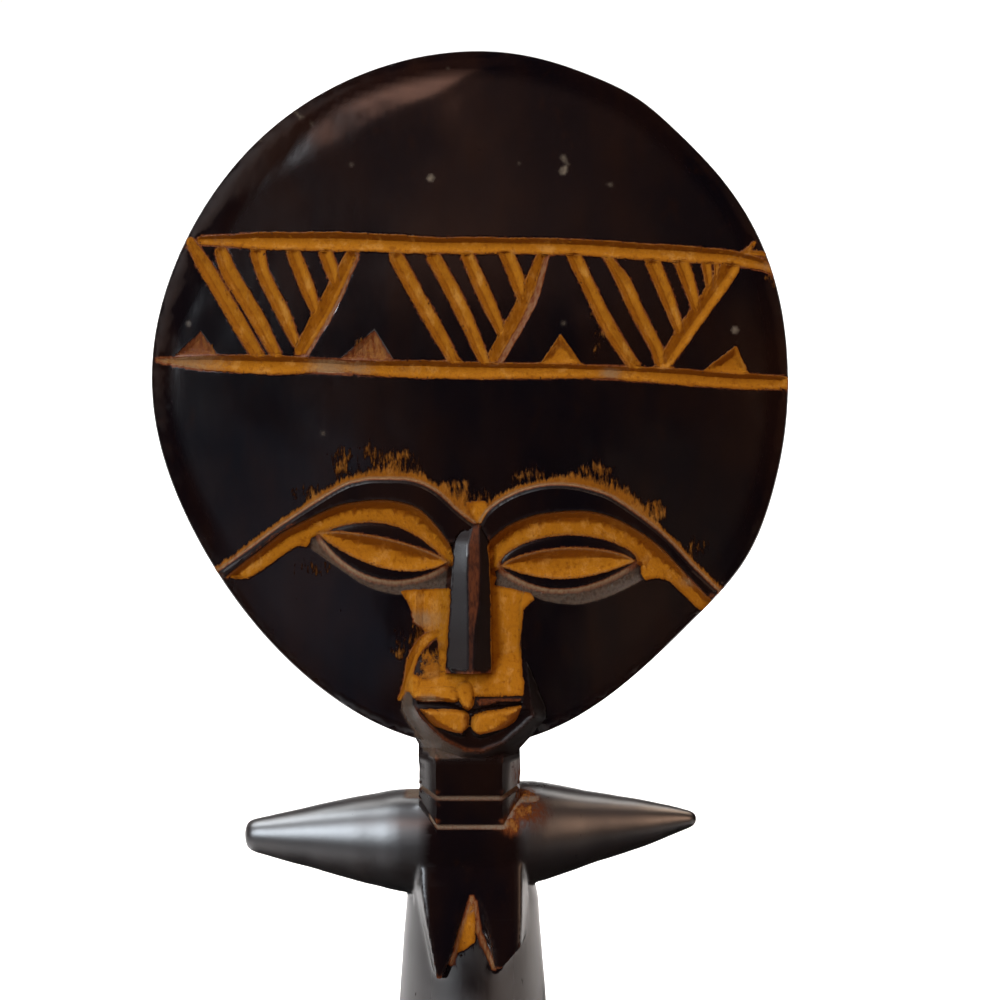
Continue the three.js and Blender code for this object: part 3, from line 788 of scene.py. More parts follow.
def arm(side, z, rise, profile):
    turn = np.linspace(0, 2 * math.pi, 57)[:-1]
    rings = []
    for x, radius in through(profile, 1.6):
        out = float(ramp(x, 0, 14))
        lift = rise * x / 55 + out * (z - ARM_MIDDLE + 0.12 * wander(x / 7, side + 3))
        radius = max(radius, 0.05) * (1 + 0.008 * out * wander(x / 3, side + 7))
        rings.append(np.column_stack([
            np.full(56, side * x), 0.92 * radius * np.cos(turn),
            ARM_MIDDLE + lift + radius * np.sin(turn),
        ]))
    return loft("arm", rings)


def column():
    profile = (
        (0, 0.05), (0, BASE_RADIUS - 1.2), (0.3, BASE_RADIUS - 0.4), (1.2, BASE_RADIUS),
        (BASE_HEIGHT - 2.6, BASE_RADIUS), (BASE_HEIGHT - 0.8, BASE_RADIUS - 0.7),
        (BASE_HEIGHT, BASE_RADIUS - 2.4), (BASE_HEIGHT + 0.9, 30), (13.5, 27.4), (18, 25.2),
        (26, 23.7), (42, 22.2), (70, 20), (101, 17.8), (124, TORSO_RADIUS), (130, 14.6),
        (137, 11.6), (140, 6), (141, 0.05),
    )
    rings = []
    for z, radius in between(profile, 2.5):
        turn = np.linspace(0, 2 * math.pi, 97)[:-1]
        keep = min(max((z - 14) / 20, 0), 1)
        uneven = 1 + 0.006 * keep * (wander(z / 9 + 2 * np.cos(turn), 2) + wander(3 * np.sin(turn), 4))
        x, y = radius * uneven * np.cos(turn), radius * uneven * np.sin(turn)
        rings.append(np.column_stack([x, y, np.full(96, z)]))
    return loft("column", rings)


def chest():
    rows = ((116, 13.6, -11.6, 12), (130, 13.4, -12.2, 12), (138, 12.4, -11.7, 11),
            (144.2, 12.1, -10.6, 10.4))
    climb = RINGS[0][1]
    return loft("chest", [
        eight_sided(z, half, front, back, climb * max(z - CHEST_BEND, 0) / CHEST_CLIMB, NECK_CORNER)
        for z, half, front, back in between(rows, 2)
    ])


BREASTS = (  # side, how much wider behind, rows of height, outer and inner edge, reach forward
    (-1, 2.2, ((138, -12, -1, 10.8), (131, -12, -0.6, 14.2), (124, -10.9, -2.6, 17.2),
               (117.4, -9.6, -4.4, 19.6), (110.8, -8.3, -7.3, 21.5), (109.7, -8.2, -7.5, 16))),
    (1, 1.6, ((138, 11.8, 1, 10.8), (131, 11.9, 0.8, 14.2), (124, 11.9, 3.2, 17),
              (118, 11.7, 4.8, 19), (113, 6.9, 5.6, 20.7), (111.8, 6.7, 5.8, 16))),
)


def breast(side, skirt, rows):
    return loft("breast", [
        [(outer + side * skirt, -8, z), (outer, -forward, z), (inner, -forward, z),
         (inner - 0.7 * side * skirt, -8, z)]
        for z, outer, inner, forward in between(rows, 2)
    ])


def apply_modifiers(obj):
    """Puts the result of the object's modifiers in its mesh."""
    view = bpy.context.evaluated_depsgraph_get()
    made = bpy.data.meshes.new_from_object(obj.evaluated_get(view))
    old = obj.data
    obj.modifiers.clear()
    obj.data = made
    bpy.data.meshes.remove(old)
    return obj


def join(name, objects):
    made = bmesh.new()
    for obj in objects:
        made.from_mesh(obj.data)
        bpy.data.objects.remove(obj)
    mesh = bpy.data.meshes.new(name)
    made.to_mesh(mesh)
    made.free()
    joined = bpy.data.objects.new(name, mesh)
    bpy.context.scene.collection.objects.link(joined)
    return joined


def body(voxel):
    pieces = [column(), chest(), *(arm(*a) for a in ARMS), *(breast(*b) for b in BREASTS)]
    obj = join("body", pieces)
    melt = obj.modifiers.new("melt", "REMESH")
    melt.mode, melt.voxel_size = "VOXEL", voxel
    soften = obj.modifiers.new("soften", "SMOOTH")
    soften.factor, soften.iterations = 0.5, 6
    thin = obj.modifiers.new("thin", "DECIMATE")
    thin.ratio = BODY_KEPT
    apply_modifiers(obj)
    for v in obj.data.vertices:
        if v.co.z < SOLE:
            v.co.z = 0.0
    return obj


def unite(first, *others):
    """Joins solids into one skin and removes what is inside it."""
    for other in others:
        step = first.modifiers.new("unite", "BOOLEAN")
        step.operation, step.solver, step.object = "UNION", "MANIFOLD", other
        apply_modifiers(first)
        bpy.data.objects.remove(other)
        if not first.data.polygons:
            raise RuntimeError(f"nothing was left after joining {other.name}")
    return first


def head_matrix():
    turn = Matrix.Rotation(math.pi / 2 - HEAD_LEAN, 4, "X")
    return Matrix.Translation(HEAD_CENTRE) @ turn


def figure_mesh(voxel):
    head = unite(head_disc(), mouth(), nose())
    head.data.transform(head_matrix())
    whole = unite(head, neck(), body(voxel))
    whole.name = whole.data.name = "carved_figure"
    return whole


# What the surface carries, kept on the mesh for the material


OCHRE_UNIT = 4.0  # millimetres of depth for each unit that the mesh carries
FADED_PLACES = (  # u, v, spread, how far the ochre has gone
    (-34, 4, 6, 1.0), (-27, 3.6, 5, 0.8), (33, 2.4, 3.2, 1.0), (-68, 5, 12, 0.8), (-16, 3.5, 5, 0.4),
    (-12, -56, 6, 0.9), (-8, -62, 3, 0.5), (-10, -75, 3.6, 0.9), (52, -47, 4, 0.7),
    (71, 28, 4, 0.6), (-60, 34, 5, 0.4), (12.6, -49, 2.4, 0.6), (11.5, -62, 2.5, 0.4),
)
SMUDGES = (  # u, v, reach across, reach up, strength
    (-31, -18.6, 4, 4.5, 0.4), (-17, -18.6, 7, 4.0, 0.46), (-24, -16.6, 4, 3.0, 0.36),
    (-40, -26, 5, 3.4, 0.36), (-4, -25, 5, 3.4, 0.5), (2, -27.5, 4, 3.0, 0.5),
    (14, -22, 7, 2.4, 0.34), (29, -20.8, 7, 2.6, 0.46), (43, -30, 4, 3.6, 0.5),
    (53, -40, 4, 4, 0.34), (-9.4, -67, 3.6, 5.5, 0.66), (-13, -60, 3.4, 4.5, 0.5),
    (-17.4, -62, 2.6, 5.5, 0.36), (-37, -43, 6, 3.0, 0.3), (67, 30.5, 7, 2.6, 0.46),
    (72, 25, 3, 4, 0.44), (29.5, 12.5, 2.2, 7, 0.36), (-25.5, 8.4, 3.4, 3.4, 0.52),
    (-65, 8.6, 4, 2.6, 0.45), (-12.8, -70.4, 2.6, 2.2, 0.6), (6, -74.9, 4, 0.8, 0.34),
)
SCUFFS = (  # short light scratches on the polish: points of a line in u and v
    ((9.0, 54.0), (11.5, 52.6), (13.0, 50.4)),
    ((19.6, 53.0), (21.8, 53.6), (22.6, 51.6), (20.9, 49.6)),
    ((-6.4, 75.4), (-5.6, 74.8)), ((-11.8, 67.0), (-11.0, 66.6)), ((2.4, 66.0), (2.9, 65.2)),
    ((31.5, 47.4), (33.5, 47.0)), ((-40.6, 65.0), (-39.4, 63.6)), ((-30.0, 52.6), (-28.9, 52.0)),
    ((37.0, 20.6), (38.0, 20.0)), ((62.6, 13.8), (62.9, 10.4)), ((21.8, 14.0), (23.4, 13.2)),
    ((-43.6, 66.2), (-42.0, 64.4), (-40.2, 63.8)), ((-38.4, 63.0), (-37.0, 60.8)),
    ((-36.0, 66.6), (-34.8, 66.0)), ((-47.6, 51.0), (-46.8, 49.2)), ((-50.6, 58.0), (-49.6, 57.6)),
    ((-60.0, 21.6), (-59.4, 20.2)), ((-64.4, 28.0), (-63.4, 26.6)), ((-68.4, 15.0), (-67.0, 14.6)),
    ((-35.6, -12.4), (-35.4, -10.4)), ((-10, 49.6), (-9.6, 48.4)),
)
V_BLOB = np.array(((-1.2, -28.4), (3.0, -27.8), (4.2, -29.2), (1.5, -33.6)))
MOUTH_OCHRE = (
    rounded((-15.6, -72.4), (-14.6, -69.0), (-11, -70.2), (-6.6, -69.0), (-0.8, -69.0),
            (-3.2, -72), (-3.4, -75.2), (-8, -75.2), (-12.6, -75.2)),
    rounded((12.2, -73.8), (1.2, -73.9), (-0.6, -72.5), (-0.8, -69.2), (4, -68.6), (11.6, -69.2)),
    PHILTRUM,
    *LOWER_LIPS,
)


def near_line(p, line, wide):
    """1 on a line and close beside it, falling to 0 at 1.4 times the width."""
    return np.clip(1.4 - distance_to(p, line) / wide, 0, 1)


def band_marks(p):
    """The band's part of the marks: how far each point lies inside ochre, in millimetres and
    negative outside it, then how smudged, how rubbed bare and how near the bottom of a cut."""
    inside = np.full(len(p), -FAR)
    smudge, rubbed, crease = np.zeros((3, len(p)))
    for knife in CUTS:
        ochre, cut, valley = knife.marks(p)
        crease = np.maximum(crease, np.clip(1.2 - valley / 0.5, 0, 1) * ramp(cut, 0.2, 0.5))
        inside = np.maximum(inside, ochre)
        rubbed = np.maximum(rubbed, 0.5 * ramp(np.minimum(cut + 0.35, -ochre), -0.1, 0.15))
    for outline, brown in CHIPS:
        chip = depth_in(p, np.array(outline))
        inside = np.maximum(inside, chip - 3 * brown)
        rubbed = np.maximum(rubbed, 0.6 * brown * ramp(chip, -0.1, 0.3))
        smudge = np.maximum(smudge, 0.6 * brown * ramp(chip, 0, 0.5))
    return inside, smudge, rubbed, crease


def eye_marks(p, side, inside, smudge, rubbed, olive):
    """Adds one eye, its brow and its cheek to the marks. Olive is the dull slope under the eye."""
    u, v = p.T
    lids, slit = depth_in(p, side.lids), depth_in(p, side.slit)
    beside = np.abs(u - side.eye_middle[0]) - 16.5
    above = np.maximum(ramp(v - side.eye_line(u), -2.5, 0.0), ramp(beside, 0, 2))
    socket = np.minimum(depth_in(p, side.socket), -lids)
    inside = np.maximum(inside, np.maximum(socket - 3 * (1 - above), slit + 0.1))
    slope = (1 - above) * ramp(socket, -0.9, 0.1) * ramp(-lids, -0.3, 0)
    bare = 0.14 + 0.65 * near_line(p, closed(side.lids), 0.8)
    rubbed, olive = np.maximum(rubbed, bare * slope), np.maximum(olive, slope)
    cheek = np.minimum(depth_in(p, side.cheek_ochre) - 0.2, depth_in(p, side.socket) * -1 + 0.4)
    inside = np.maximum(inside, cheek)
    brow = depth_in(p, side.brow)
    wide = np.interp(u, *np.array(sorted(side.smear)).T)
    smear = 1.25 - 0.75 * distance_to(p, side.brow_top) / wide
    smudge = np.maximum(smudge, 0.8 * np.clip(smear, 0, 1) * ramp(-brow, -0.3, 0.1))
    for line, reach, strength in (
        (side.brow_top, 0.45, 0.9), (closed(side.lids), 0.35, 0.45),
        (side.slit_top, 0.4, 0.6), (side.slit_foot, 0.3, 0.5), (side.brow_foot, 0.35, 0.4),
    ):
        rubbed = np.maximum(rubbed, strength * near_line(p, line, reach))
    smudge = smudge * (1 - 0.9 * ramp(brow, 0.3, 0.8))
    smudge = smudge * (1 - ramp(np.minimum(lids, -slit), 0, 0.3))
    return inside, smudge, rubbed, olive


def nose_parts(p):
    """How far each point lies on the nose, in from the left edge of its ridge, and on the ridge
    from 0 to 1."""
    u, v = p.T
    rows = np.array(NOSE)[::-1]
    left, right, ridge_left, ridge_right = (
        np.interp(v, rows[:, 0], rows[:, k]) for k in (1, 2, 3, 4)
    )
    on_nose = np.minimum(np.minimum(u - left, right - u), np.minimum(v - NOSE_TIP, NOSE_TOP - v))
    ridge = ramp(np.minimum(u - ridge_left, ridge_right - u), -0.3, 0.5)
    return on_nose, u - ridge_left, ridge


def face_marks(p):
    """For points of the face: how far each lies inside ochre, in millimetres and negative
    outside it, then how smudged, how rubbed bare and how scuffed it is, how near the bottom
    of a cut and how glossy, all from 0 to 1."""
    u, v = p.T
    inside, smudge, rubbed, crease = band_marks(p)
    olive = np.zeros(len(p))
    for side in (LEFT, RIGHT):
        inside, smudge, rubbed, olive = eye_marks(p, side, inside, smudge, rubbed, olive)
    inside = np.maximum(inside, depth_in(p, V_BLOB))
    for outline in MOUTH_OCHRE:
        inside = np.maximum(inside, depth_in(p, outline) - 0.1 - 1.4 * ramp(-v, 81.0, 83.4))
    for at_u, at_v, spread, fade in FADED_PLACES:
        far = fade * np.exp(-((u - at_u) ** 2 + (2 * (v - at_v)) ** 2) / spread**2)
        rubbed = np.maximum(rubbed, far * ramp(inside, -0.3, 0.3))
        inside = inside - 0.7 * far
    jaw = 0.25 * near_line(p, closed(JAW), 0.8) * ramp(-v, 74, 78) * (1 - 0.5 * ramp(u, 0, 10))
    rubbed = np.maximum(rubbed, jaw)
    rubbed = np.maximum(rubbed, 0.26 * ramp(depth_in(p, UPPER_LIPS[1]), 0, 0.3))

    on_nose, from_ridge, ridge = nose_parts(p)
    inside = np.where(on_nose > -1, np.minimum(inside, -on_nose - 0.1), inside)
    smudge *= 1 - ramp(on_nose, -0.4, 0.2)
    rubbed *= 1 - ramp(on_nose, -0.1, 0.3)
    olive *= 1 - ramp(on_nose, -1.4, -0.4)
    rubbed = np.maximum(rubbed, (0.24 - 0.06 * ramp(-v, 55, 60)) * ridge * (on_nose > 0))
    for at_u, at_v, wide, high, strength in SMUDGES:
        away = ((u - at_u) / wide) ** 2 + ((v - at_v) / high) ** 2
        smudge = np.maximum(smudge, strength * np.clip(1.3 - away, 0, 1) * (on_nose < -0.3))
    smudge = np.maximum(smudge, 0.25 * np.clip(1 + inside / 0.8, 0, 1) * (on_nose < -0.3))

    # The jaw's band is lighter on its left side only: there it gets the scuff colour and a little bare
    # wood, and keeps more of its shine
    band = np.minimum(depth_in(p, JAW_FOOT), -depth_in(p, JAW)) * ramp(-v, 71, 75)
    band = ramp(band, 0, 0.4) * ramp(-u, -8, 8)
    scuff, rubbed = np.maximum(0.5 * band, 0.5 * olive), np.maximum(rubbed, 0.16 * band)
    gloss = np.maximum(band, ramp(-from_ridge, -0.2, 0.4) * ramp(-v, 36, 42) * (on_nose > 0))
    for line in SCUFFS:
        scuff = np.maximum(scuff, 1 - distance_to(p, np.array(line)) / 0.55)
    return inside, smudge, rubbed, scuff, crease, gloss


CLEFT = np.array((  # x and z of the ochre between the breasts
    (-0.2, 128.2), (0.6, 127.4), (1.0, 122.7), (0.8, 118.3), (-1.0, 116.8), (-3.9, 115.2),
    (-3.5, 118.5), (-2.3, 122.7), (-1.0, 126),
))
CLEFT_EDGES = (((0.0, 129), (-2.6, 121), (-4.9, 113)), ((0.6, 128), (1.6, 121), (5.4, 111.8)))
WORN = (  # places on the body: middle, reach, how rubbed, how smudged with ochre
    ((11.8, -8, 148), 3, 0.5, 0.66), ((12.6, -5, 151), 3.4, 0.4, 0.5),
    ((9.6, -10.4, 145.6), 2.6, 0.5, 0.66), ((14.5, -8, 148), 5, 0.3, 0.1),
    ((11.6, -5, 158), 5, 0.3, 0.2),
)


def body_marks(p):
    """The same for points of the neck and body, given in the frame of the part."""
    x, y, z = p.T
    front = (y < -8) & (y > -22)
    cleft = np.where(front, depth_in(p[:, [0, 2]], CLEFT), -FAR)
    smudge, rubbed = 0.4 * np.clip(1 + cleft / 1.6, 0, 1), np.zeros(len(p))
    scuff = rubbed.copy()
    for line in CLEFT_EDGES:
        near = near_line(p[:, [0, 2]], np.array(line, float), 0.7) * front
        smudge, rubbed = np.maximum(smudge, 0.4 * near), np.maximum(rubbed, 0.6 * near)
    for at, reach, bare, ochre in WORN:
        near = np.exp(-(np.linalg.norm(p - np.array(at), axis=1) / reach) ** 2)
        smudge, rubbed = np.maximum(smudge, ochre * near), np.maximum(rubbed, bare * near)
    corner = NECK_CORNER / NECK_HALF
    for height, climb in RINGS:
        side = np.clip((np.abs(x - NECK_X) / NECK_HALF - 1 + corner) / corner, 0, 1)
        away = np.abs(z - height - climb * side)
        near = np.clip(1.4 - away / 0.6, 0, 1) * (np.hypot(x, y) < 17)
        rubbed, scuff = np.maximum(rubbed, 0.5 * near), np.maximum(scuff, near)
    return cleft - 0.3, smudge, rubbed, scuff, *np.zeros((2, len(p)))


def convex(mesh, points, normals):
    """How sharply the surface stands out at each vertex, from 0 to 1."""
    edges = np.empty(len(mesh.edges) * 2, int)
    mesh.edges.foreach_get("vertices", edges)
    a, b = edges.reshape(-1, 2).T
    way = points[b] - points[a]
    length = np.maximum(np.linalg.norm(way, axis=1), 0.15)
    bend, count = np.zeros(len(points)), np.full(len(points), 1e-6)
    for at, sign in ((a, -1), (b, 1)):
        np.add.at(bend, at, sign * (way * normals[at]).sum(1) / length)
        np.add.at(count, at, 1)
    bend /= count
    near = bend.copy()
    np.add.at(near, a, bend[b])
    np.add.at(near, b, bend[a])
    return ramp(near / (count + 1), 0.06, 0.3)


def read(mesh):
    """The places and the normals of a mesh's vertices."""
    points, normals = np.empty((2, len(mesh.vertices) * 3))
    mesh.vertices.foreach_get("co", points)
    mesh.vertex_normals.foreach_get("vector", normals)
    return points.reshape(-1, 3), normals.reshape(-1, 3)


def head_sheen(flat, relief, tilt, gloss):
    """For points of the head, given how far the carving lifts or sinks each and how far it turns
    from the face: how matt each is, and how much rougher than the polish."""
    carved = ramp(relief, 0.02, 0.2)
    steep = ramp(relief, 0.2, 0.4) * ramp(tilt, 0.05, 0.15) * (1 - gloss)
    share, low = rim_share(flat), ramp(-flat[:, 1], 30, 55)
    left = ramp(-flat[:, 0], 32, 48) * ramp(flat[:, 1], 0, 30)
    rim = ramp(share + 0.05 * left, 0.86, 0.95) * (1 - 0.5 * low)
    toward = (0.6 + 0.25 * left) * ramp(share, 0.35, 0.9)
    toward *= 0.4 + 0.6 * ramp(flat[:, 1], -60, -15)
    matt = np.maximum(0.95 * carved, np.maximum(rim, toward)) * (1 - 0.7 * gloss)
    return matt, np.maximum(0.6 * carved, 2.5 * steep)


def body_sheen(points):
    """The same for points of the body: the chest is matt, and the chest and arms are rougher."""
    x, y, z = points.T
    arms = ramp(np.abs(x), 7, 12) * ramp(-z, -156, -150)
    low = 8.2 * ramp(-z, -126, -119)
    chest = ramp(-y - low, 8, 10) * ramp(-np.abs(x), -13.5, -10) * ramp(z, 104, 109)
    return chest, np.maximum(1.2 * arms, chest)


def mark(mesh):
    """Stores on the mesh what the material reads."""
    points, normals = read(mesh)
    to_head = np.array(head_matrix().inverted())
    head = points @ to_head[:3, :3].T + to_head[:3, 3]
    flat, out = head[:, :2], head[:, 2]
    beside_head = (rim_share(flat) < 1.05) & (flat[:, 1] > FACE_FOOT)
    on_face = beside_head & (out > plain_face(flat) - 4)
    marks = np.zeros((6, len(points)))
    marks[:, on_face] = face_marks(flat[on_face])
    marks[:, ~on_face] = body_marks(points[~on_face])
    marks[0] /= OCHRE_UNIT
    values = dict(zip(("ochre", "smudge", "rubbed", "scuff"), marks))
    # 'under' is painted shade for the ochre: it grows where the surface faces down and at the bottoms
    # of cuts
    shade = ramp(-(normals @ to_head[1, :3]), 0.12, 0.5) * (1 - 0.3 * ramp(flat[:, 1], 0, 10))
    values["under"] = np.where(on_face, np.maximum(shade, 0.25 * marks[4]), 0)
    values["edge"] = convex(mesh, points, normals) * np.where(beside_head & ~on_face, 0, 1)
    relief, tilt = np.abs(out - plain_face(flat)), 1 - normals @ to_head[2, :3]
    for name, head_value, body_value in zip(
        ("matt", "dull"), head_sheen(flat, relief, tilt, marks[5]), body_sheen(points)
    ):
        values[name] = np.where(on_face, head_value, body_value)
    for name, value in values.items():
        mesh.attributes.new(name, "FLOAT", "POINT").data.foreach_set("value", value)


# The finish


class Shading:
    """Adds nodes to a material and returns their outputs, so that they read as formulas."""

    def __init__(self, material):
        material.use_nodes = True
        self.tree = material.node_tree
        self.tree.nodes.clear()
        self.place = self.add("TexCoord", out="Object")

    def add(self, kind, inputs=None, out=0, **settings):
        made = self.tree.nodes.new("ShaderNode" + kind)
        for name, value in settings.items():
            setattr(made, name, value)
        for socket, value in (inputs or {}).items():
            if isinstance(value, bpy.types.NodeSocket):
                self.tree.links.new(value, made.inputs[socket])
            else:
                made.inputs[socket].default_value = value
        return made.outputs[out]

    def math(self, operation, *values):
        return self.add("Math", dict(enumerate(values)), operation=operation)

    def larger(self, a, b):
        return self.math("MAXIMUM", a, b)

    def step(self, value, low, high, to_low=0.0, to_high=1.0):
        """to_low where the value is under low, to_high where it is over high, smooth between."""
        inputs = {"Value": value, "From Min": low, "From Max": high,
                  "To Min": to_low, "To Max": to_high}
        return self.add("MapRange", inputs, interpolation_type="SMOOTHSTEP")

    def mix(self, factor, a, b):
        return self.add("Mix", {"Factor": factor, 6: a, 7: b}, out=2, data_type="RGBA")

    def noise(self, size, stretch=(1, 1, 1), detail=3.0, rough=0.55):
        """Noise whose lumps are about size millimetres, stretched by its three factors."""
        scale = [1 / (size * MM * s) for s in stretch]
        where = self.add("Mapping", {"Vector": self.place, "Scale": scale})
        return self.add("TexNoise", {"Vector": where, "Scale": 1.0, "Detail": detail,
                                     "Roughness": rough})

    def carried(self, name):
        return self.add("Attribute", out="Fac", attribute_name=name)

    def bump(self, height, depth, below=None):
        """Relief of a depth in millimetres, on top of the one below."""
        inputs = {"Height": height, "Distance": depth * MM}
        if below is not None:
            inputs["Normal"] = below
        return self.add("Bump", inputs, out="Normal")

    def finish(self, **inputs):
        output = self.tree.nodes.new("ShaderNodeOutputMaterial")
        self.tree.links.new(self.add("BsdfPrincipled", inputs), output.inputs["Surface"])


def rgba(colour):
    return (*colour, 1.0)


class DollFinish(Shading):
    """Near-black stain over brown wood, waxed, with ochre where the mesh is marked."""

    def __init__(self, material, look):
        super().__init__(material)
        self.look = look
        self.fibres = self.noise(0.8, (1, 1, 22), 4, 0.6)
        self.bands = self.noise(8, (1, 1, 7), 3)
        self.clouds = self.noise(30, (1, 1, 1.6), 3)
        self.blotches = self.noise(3.2, (1, 1, 1.8), 4, 0.65)
        self.flecks = self.noise(0.55, (1, 1, 1.6), 3, 0.6)
        self.streaks = self.noise(0.75, (1, 1, 6), 4, 0.65)
        self.patches = self.noise(1.5, (1, 1, 1.5), 3, 0.6)
        # 'under' carries painted shade: where the surface faces down and at the bottoms of cuts
        self.under, self.edge, self.rubbed = map(self.carried, ("under", "edge", "rubbed"))
        self.depth = self.math("MULTIPLY", self.carried("ochre"), OCHRE_UNIT)

    def colour(self, name):
        return rgba(getattr(self.look, name))

    def cover(self):
        """Where ochre lies, and where it is near enough to dull the polish."""
        ragged = self.math("MULTIPLY_ADD", self.patches, 0.8, -0.4)
        ragged = self.math("ADD", self.depth, ragged)
        kept = self.step(self.math("MULTIPLY_ADD", self.depth, 0.12, self.flecks), 0.3, 0.4)
        fill = self.math("MULTIPLY", self.step(ragged, -0.35, -0.12), kept)
        broken = self.math("MULTIPLY_ADD", self.streaks, 1.1, -0.5)
        broken = self.math("MULTIPLY_ADD", self.blotches, 0.9, broken)
        broken = self.math("ADD", broken, self.carried("smudge"))
        smudged = self.step(broken, 0.86, 1.22, 0.0, 0.85)
        dusty = self.larger(self.step(ragged, -0.9, -0.4), self.step(broken, 0.76, 0.88))
        return self.larger(fill, smudged), dusty

    def pigment(self):
        """The ochre's colour: deep where it is thin, and deep as painted shade where it faces down or
        lies at the bottom of a cut, pale where it is dry, gone where rubbed.
        """
        deep, pale = self.colour("thin_and_shaded_ochre"), self.colour("ochre_light")
        # Painted shade: the ochre turns deep on walls that face down and at the bottoms of cuts; random
        # blotches also thin it
        thin = self.math("MULTIPLY_ADD", self.blotches, -0.5, 0.25)
        thin = self.step(self.math("ADD", self.under, thin), -0.1, 0.65)
        shown = self.mix(thin, self.colour("ochre"), deep)
        dry = self.math("MULTIPLY", self.edge, self.step(self.streaks, 0.3, 0.6))
        dry = self.larger(dry, self.step(self.blotches, 0.52, 0.68, 0.0, 0.8))
        # Fewer pale grains where the ochre is painted as in shade
        dry = self.math("MULTIPLY", dry, self.step(self.under, 0.0, 0.8, 1.0, 0.2))
        shown = self.mix(dry, shown, pale)
        border = self.step(self.depth, -0.1, 0.7, 0.6, 0.0)
        border = self.math("MULTIPLY", border, self.step(self.depth, -0.8, -0.2, 0.4))
        shown = self.mix(border, shown, deep)
        shown = self.mix(self.step(self.patches, 0.55, 0.7, 0.0, 0.5), shown, deep)
        gone = self.math("MULTIPLY_ADD", self.streaks, 0.8, self.rubbed)
        shown = self.mix(self.step(gone, 0.6, 1.5, 0.0, 0.9), shown, self.colour("bare_wood"))
        red = self.colour("red_wood")
        shown = self.mix(self.step(self.flecks, 0.5, 0.36, 0.0, 0.22), shown, red)
        return self.mix(self.step(self.depth, -0.6, 0.1, 0.25, 0.0), shown, red)

    def wear(self):
        """Where the stain is worn off, and where dust and scratches lie on it."""
        worn = self.larger(self.math("MULTIPLY", self.edge, self.look.edge_wear), self.rubbed)
        worn = self.math("MULTIPLY", worn, self.step(self.streaks, 0.32, 0.6, 0.6, 1.0))
        dust = self.step(self.noise(1.3, detail=2, rough=0.7), 0.74, 0.8, 0.0, 0.1)
        scuffed = self.step(self.carried("scuff"), 0.2, 0.9)
        scuffed = self.math("MULTIPLY", scuffed, self.step(self.flecks, 0.35, 0.6, 0.5))
        return worn, self.larger(dust, self.math("MULTIPLY", scuffed, 0.85))

    def stain(self, worn, marked):
        """The stain's colour, with the wood where it is worn and dust where it is marked."""
        brownish = self.step(self.math("MULTIPLY_ADD", self.bands, 0.5, self.clouds), 0.55, 0.98)
        brownish = self.larger(brownish, self.step(self.blotches, 0.5, 0.75, 0.0, 0.6))
        shown = self.mix(brownish, self.colour("stain"), self.colour("stain_brown"))
        shown = self.mix(self.step(worn, 0.05, 0.4), shown, self.colour("red_wood"))
        shown = self.mix(self.step(worn, 0.3, 0.75), shown, self.colour("bare_wood"))
        return self.mix(marked, shown, self.colour("scuff"))

    def polish(self, ochre, dusty, rubbed_off):
        """How rough the surface is, and how much of its shine is left, as a tint."""
        low = self.look.polish
        rough = self.math("MULTIPLY_ADD", self.fibres, 0.5, self.clouds)
        rough = self.step(rough, 0.5, 1.0, low - 0.015, low + 0.03)
        rough = self.math("MULTIPLY_ADD", self.carried("dull"), 0.2, rough)
        rough = self.math("MULTIPLY_ADD", rubbed_off, 0.35, rough)
        rough = self.add("Mix", {"Factor": ochre, 2: rough, 3: 0.95}, data_type="FLOAT")
        powder = self.larger(self.carried("matt"), self.step(rubbed_off, 0.0, 0.3, 0.0, 0.96))
        powder = self.larger(powder, dusty)
        return rough, self.mix(powder, rgba((1, 1, 1)), rgba((0.012, 0.007, 0.005)))

    def relief(self, ochre):
        """The slow waves of the planed wood, its grain, and the grit of the ochre."""
        normal = self.bump(self.clouds, 0.3)
        normal = self.bump(self.bands, 0.03, normal)
        normal = self.bump(self.fibres, 0.004, normal)
        grit = self.math("MULTIPLY", self.math("ADD", self.flecks, self.patches), ochre)
        return self.bump(grit, 0.15, normal)


def stained_wood(look):
    material = bpy.data.materials.new("Black stained wood with ochre")
    s = DollFinish(material, look)
    ochre, dusty = s.cover()
    worn, marked = s.wear()
    rubbed_off = s.larger(s.larger(worn, marked), s.step(s.edge, 0.0, 0.35))
    rough, tint = s.polish(ochre, dusty, rubbed_off)
    s.finish(**{"Base Color": s.mix(ochre, s.stain(worn, marked), s.pigment()),
                "Roughness": rough, "Normal": s.relief(ochre),
                "Specular IOR Level": 1.0, "Specular Tint": tint})
    return material


# Settings


def colour_setting(name, description, default):
    return bpy.props.FloatVectorProperty(
        name=name, description=description, subtype="COLOR", size=3, min=0, max=1, default=default
    )


def power_setting(name, description, default):
    return bpy.props.FloatProperty(
        name=name, description=description, default=default, min=0, unit="POWER"
    )


def share_setting(name, description, default, low, high):
    return bpy.props.FloatProperty(
        name=name, description=description, default=default, min=low, max=high, subtype="FACTOR"
    )


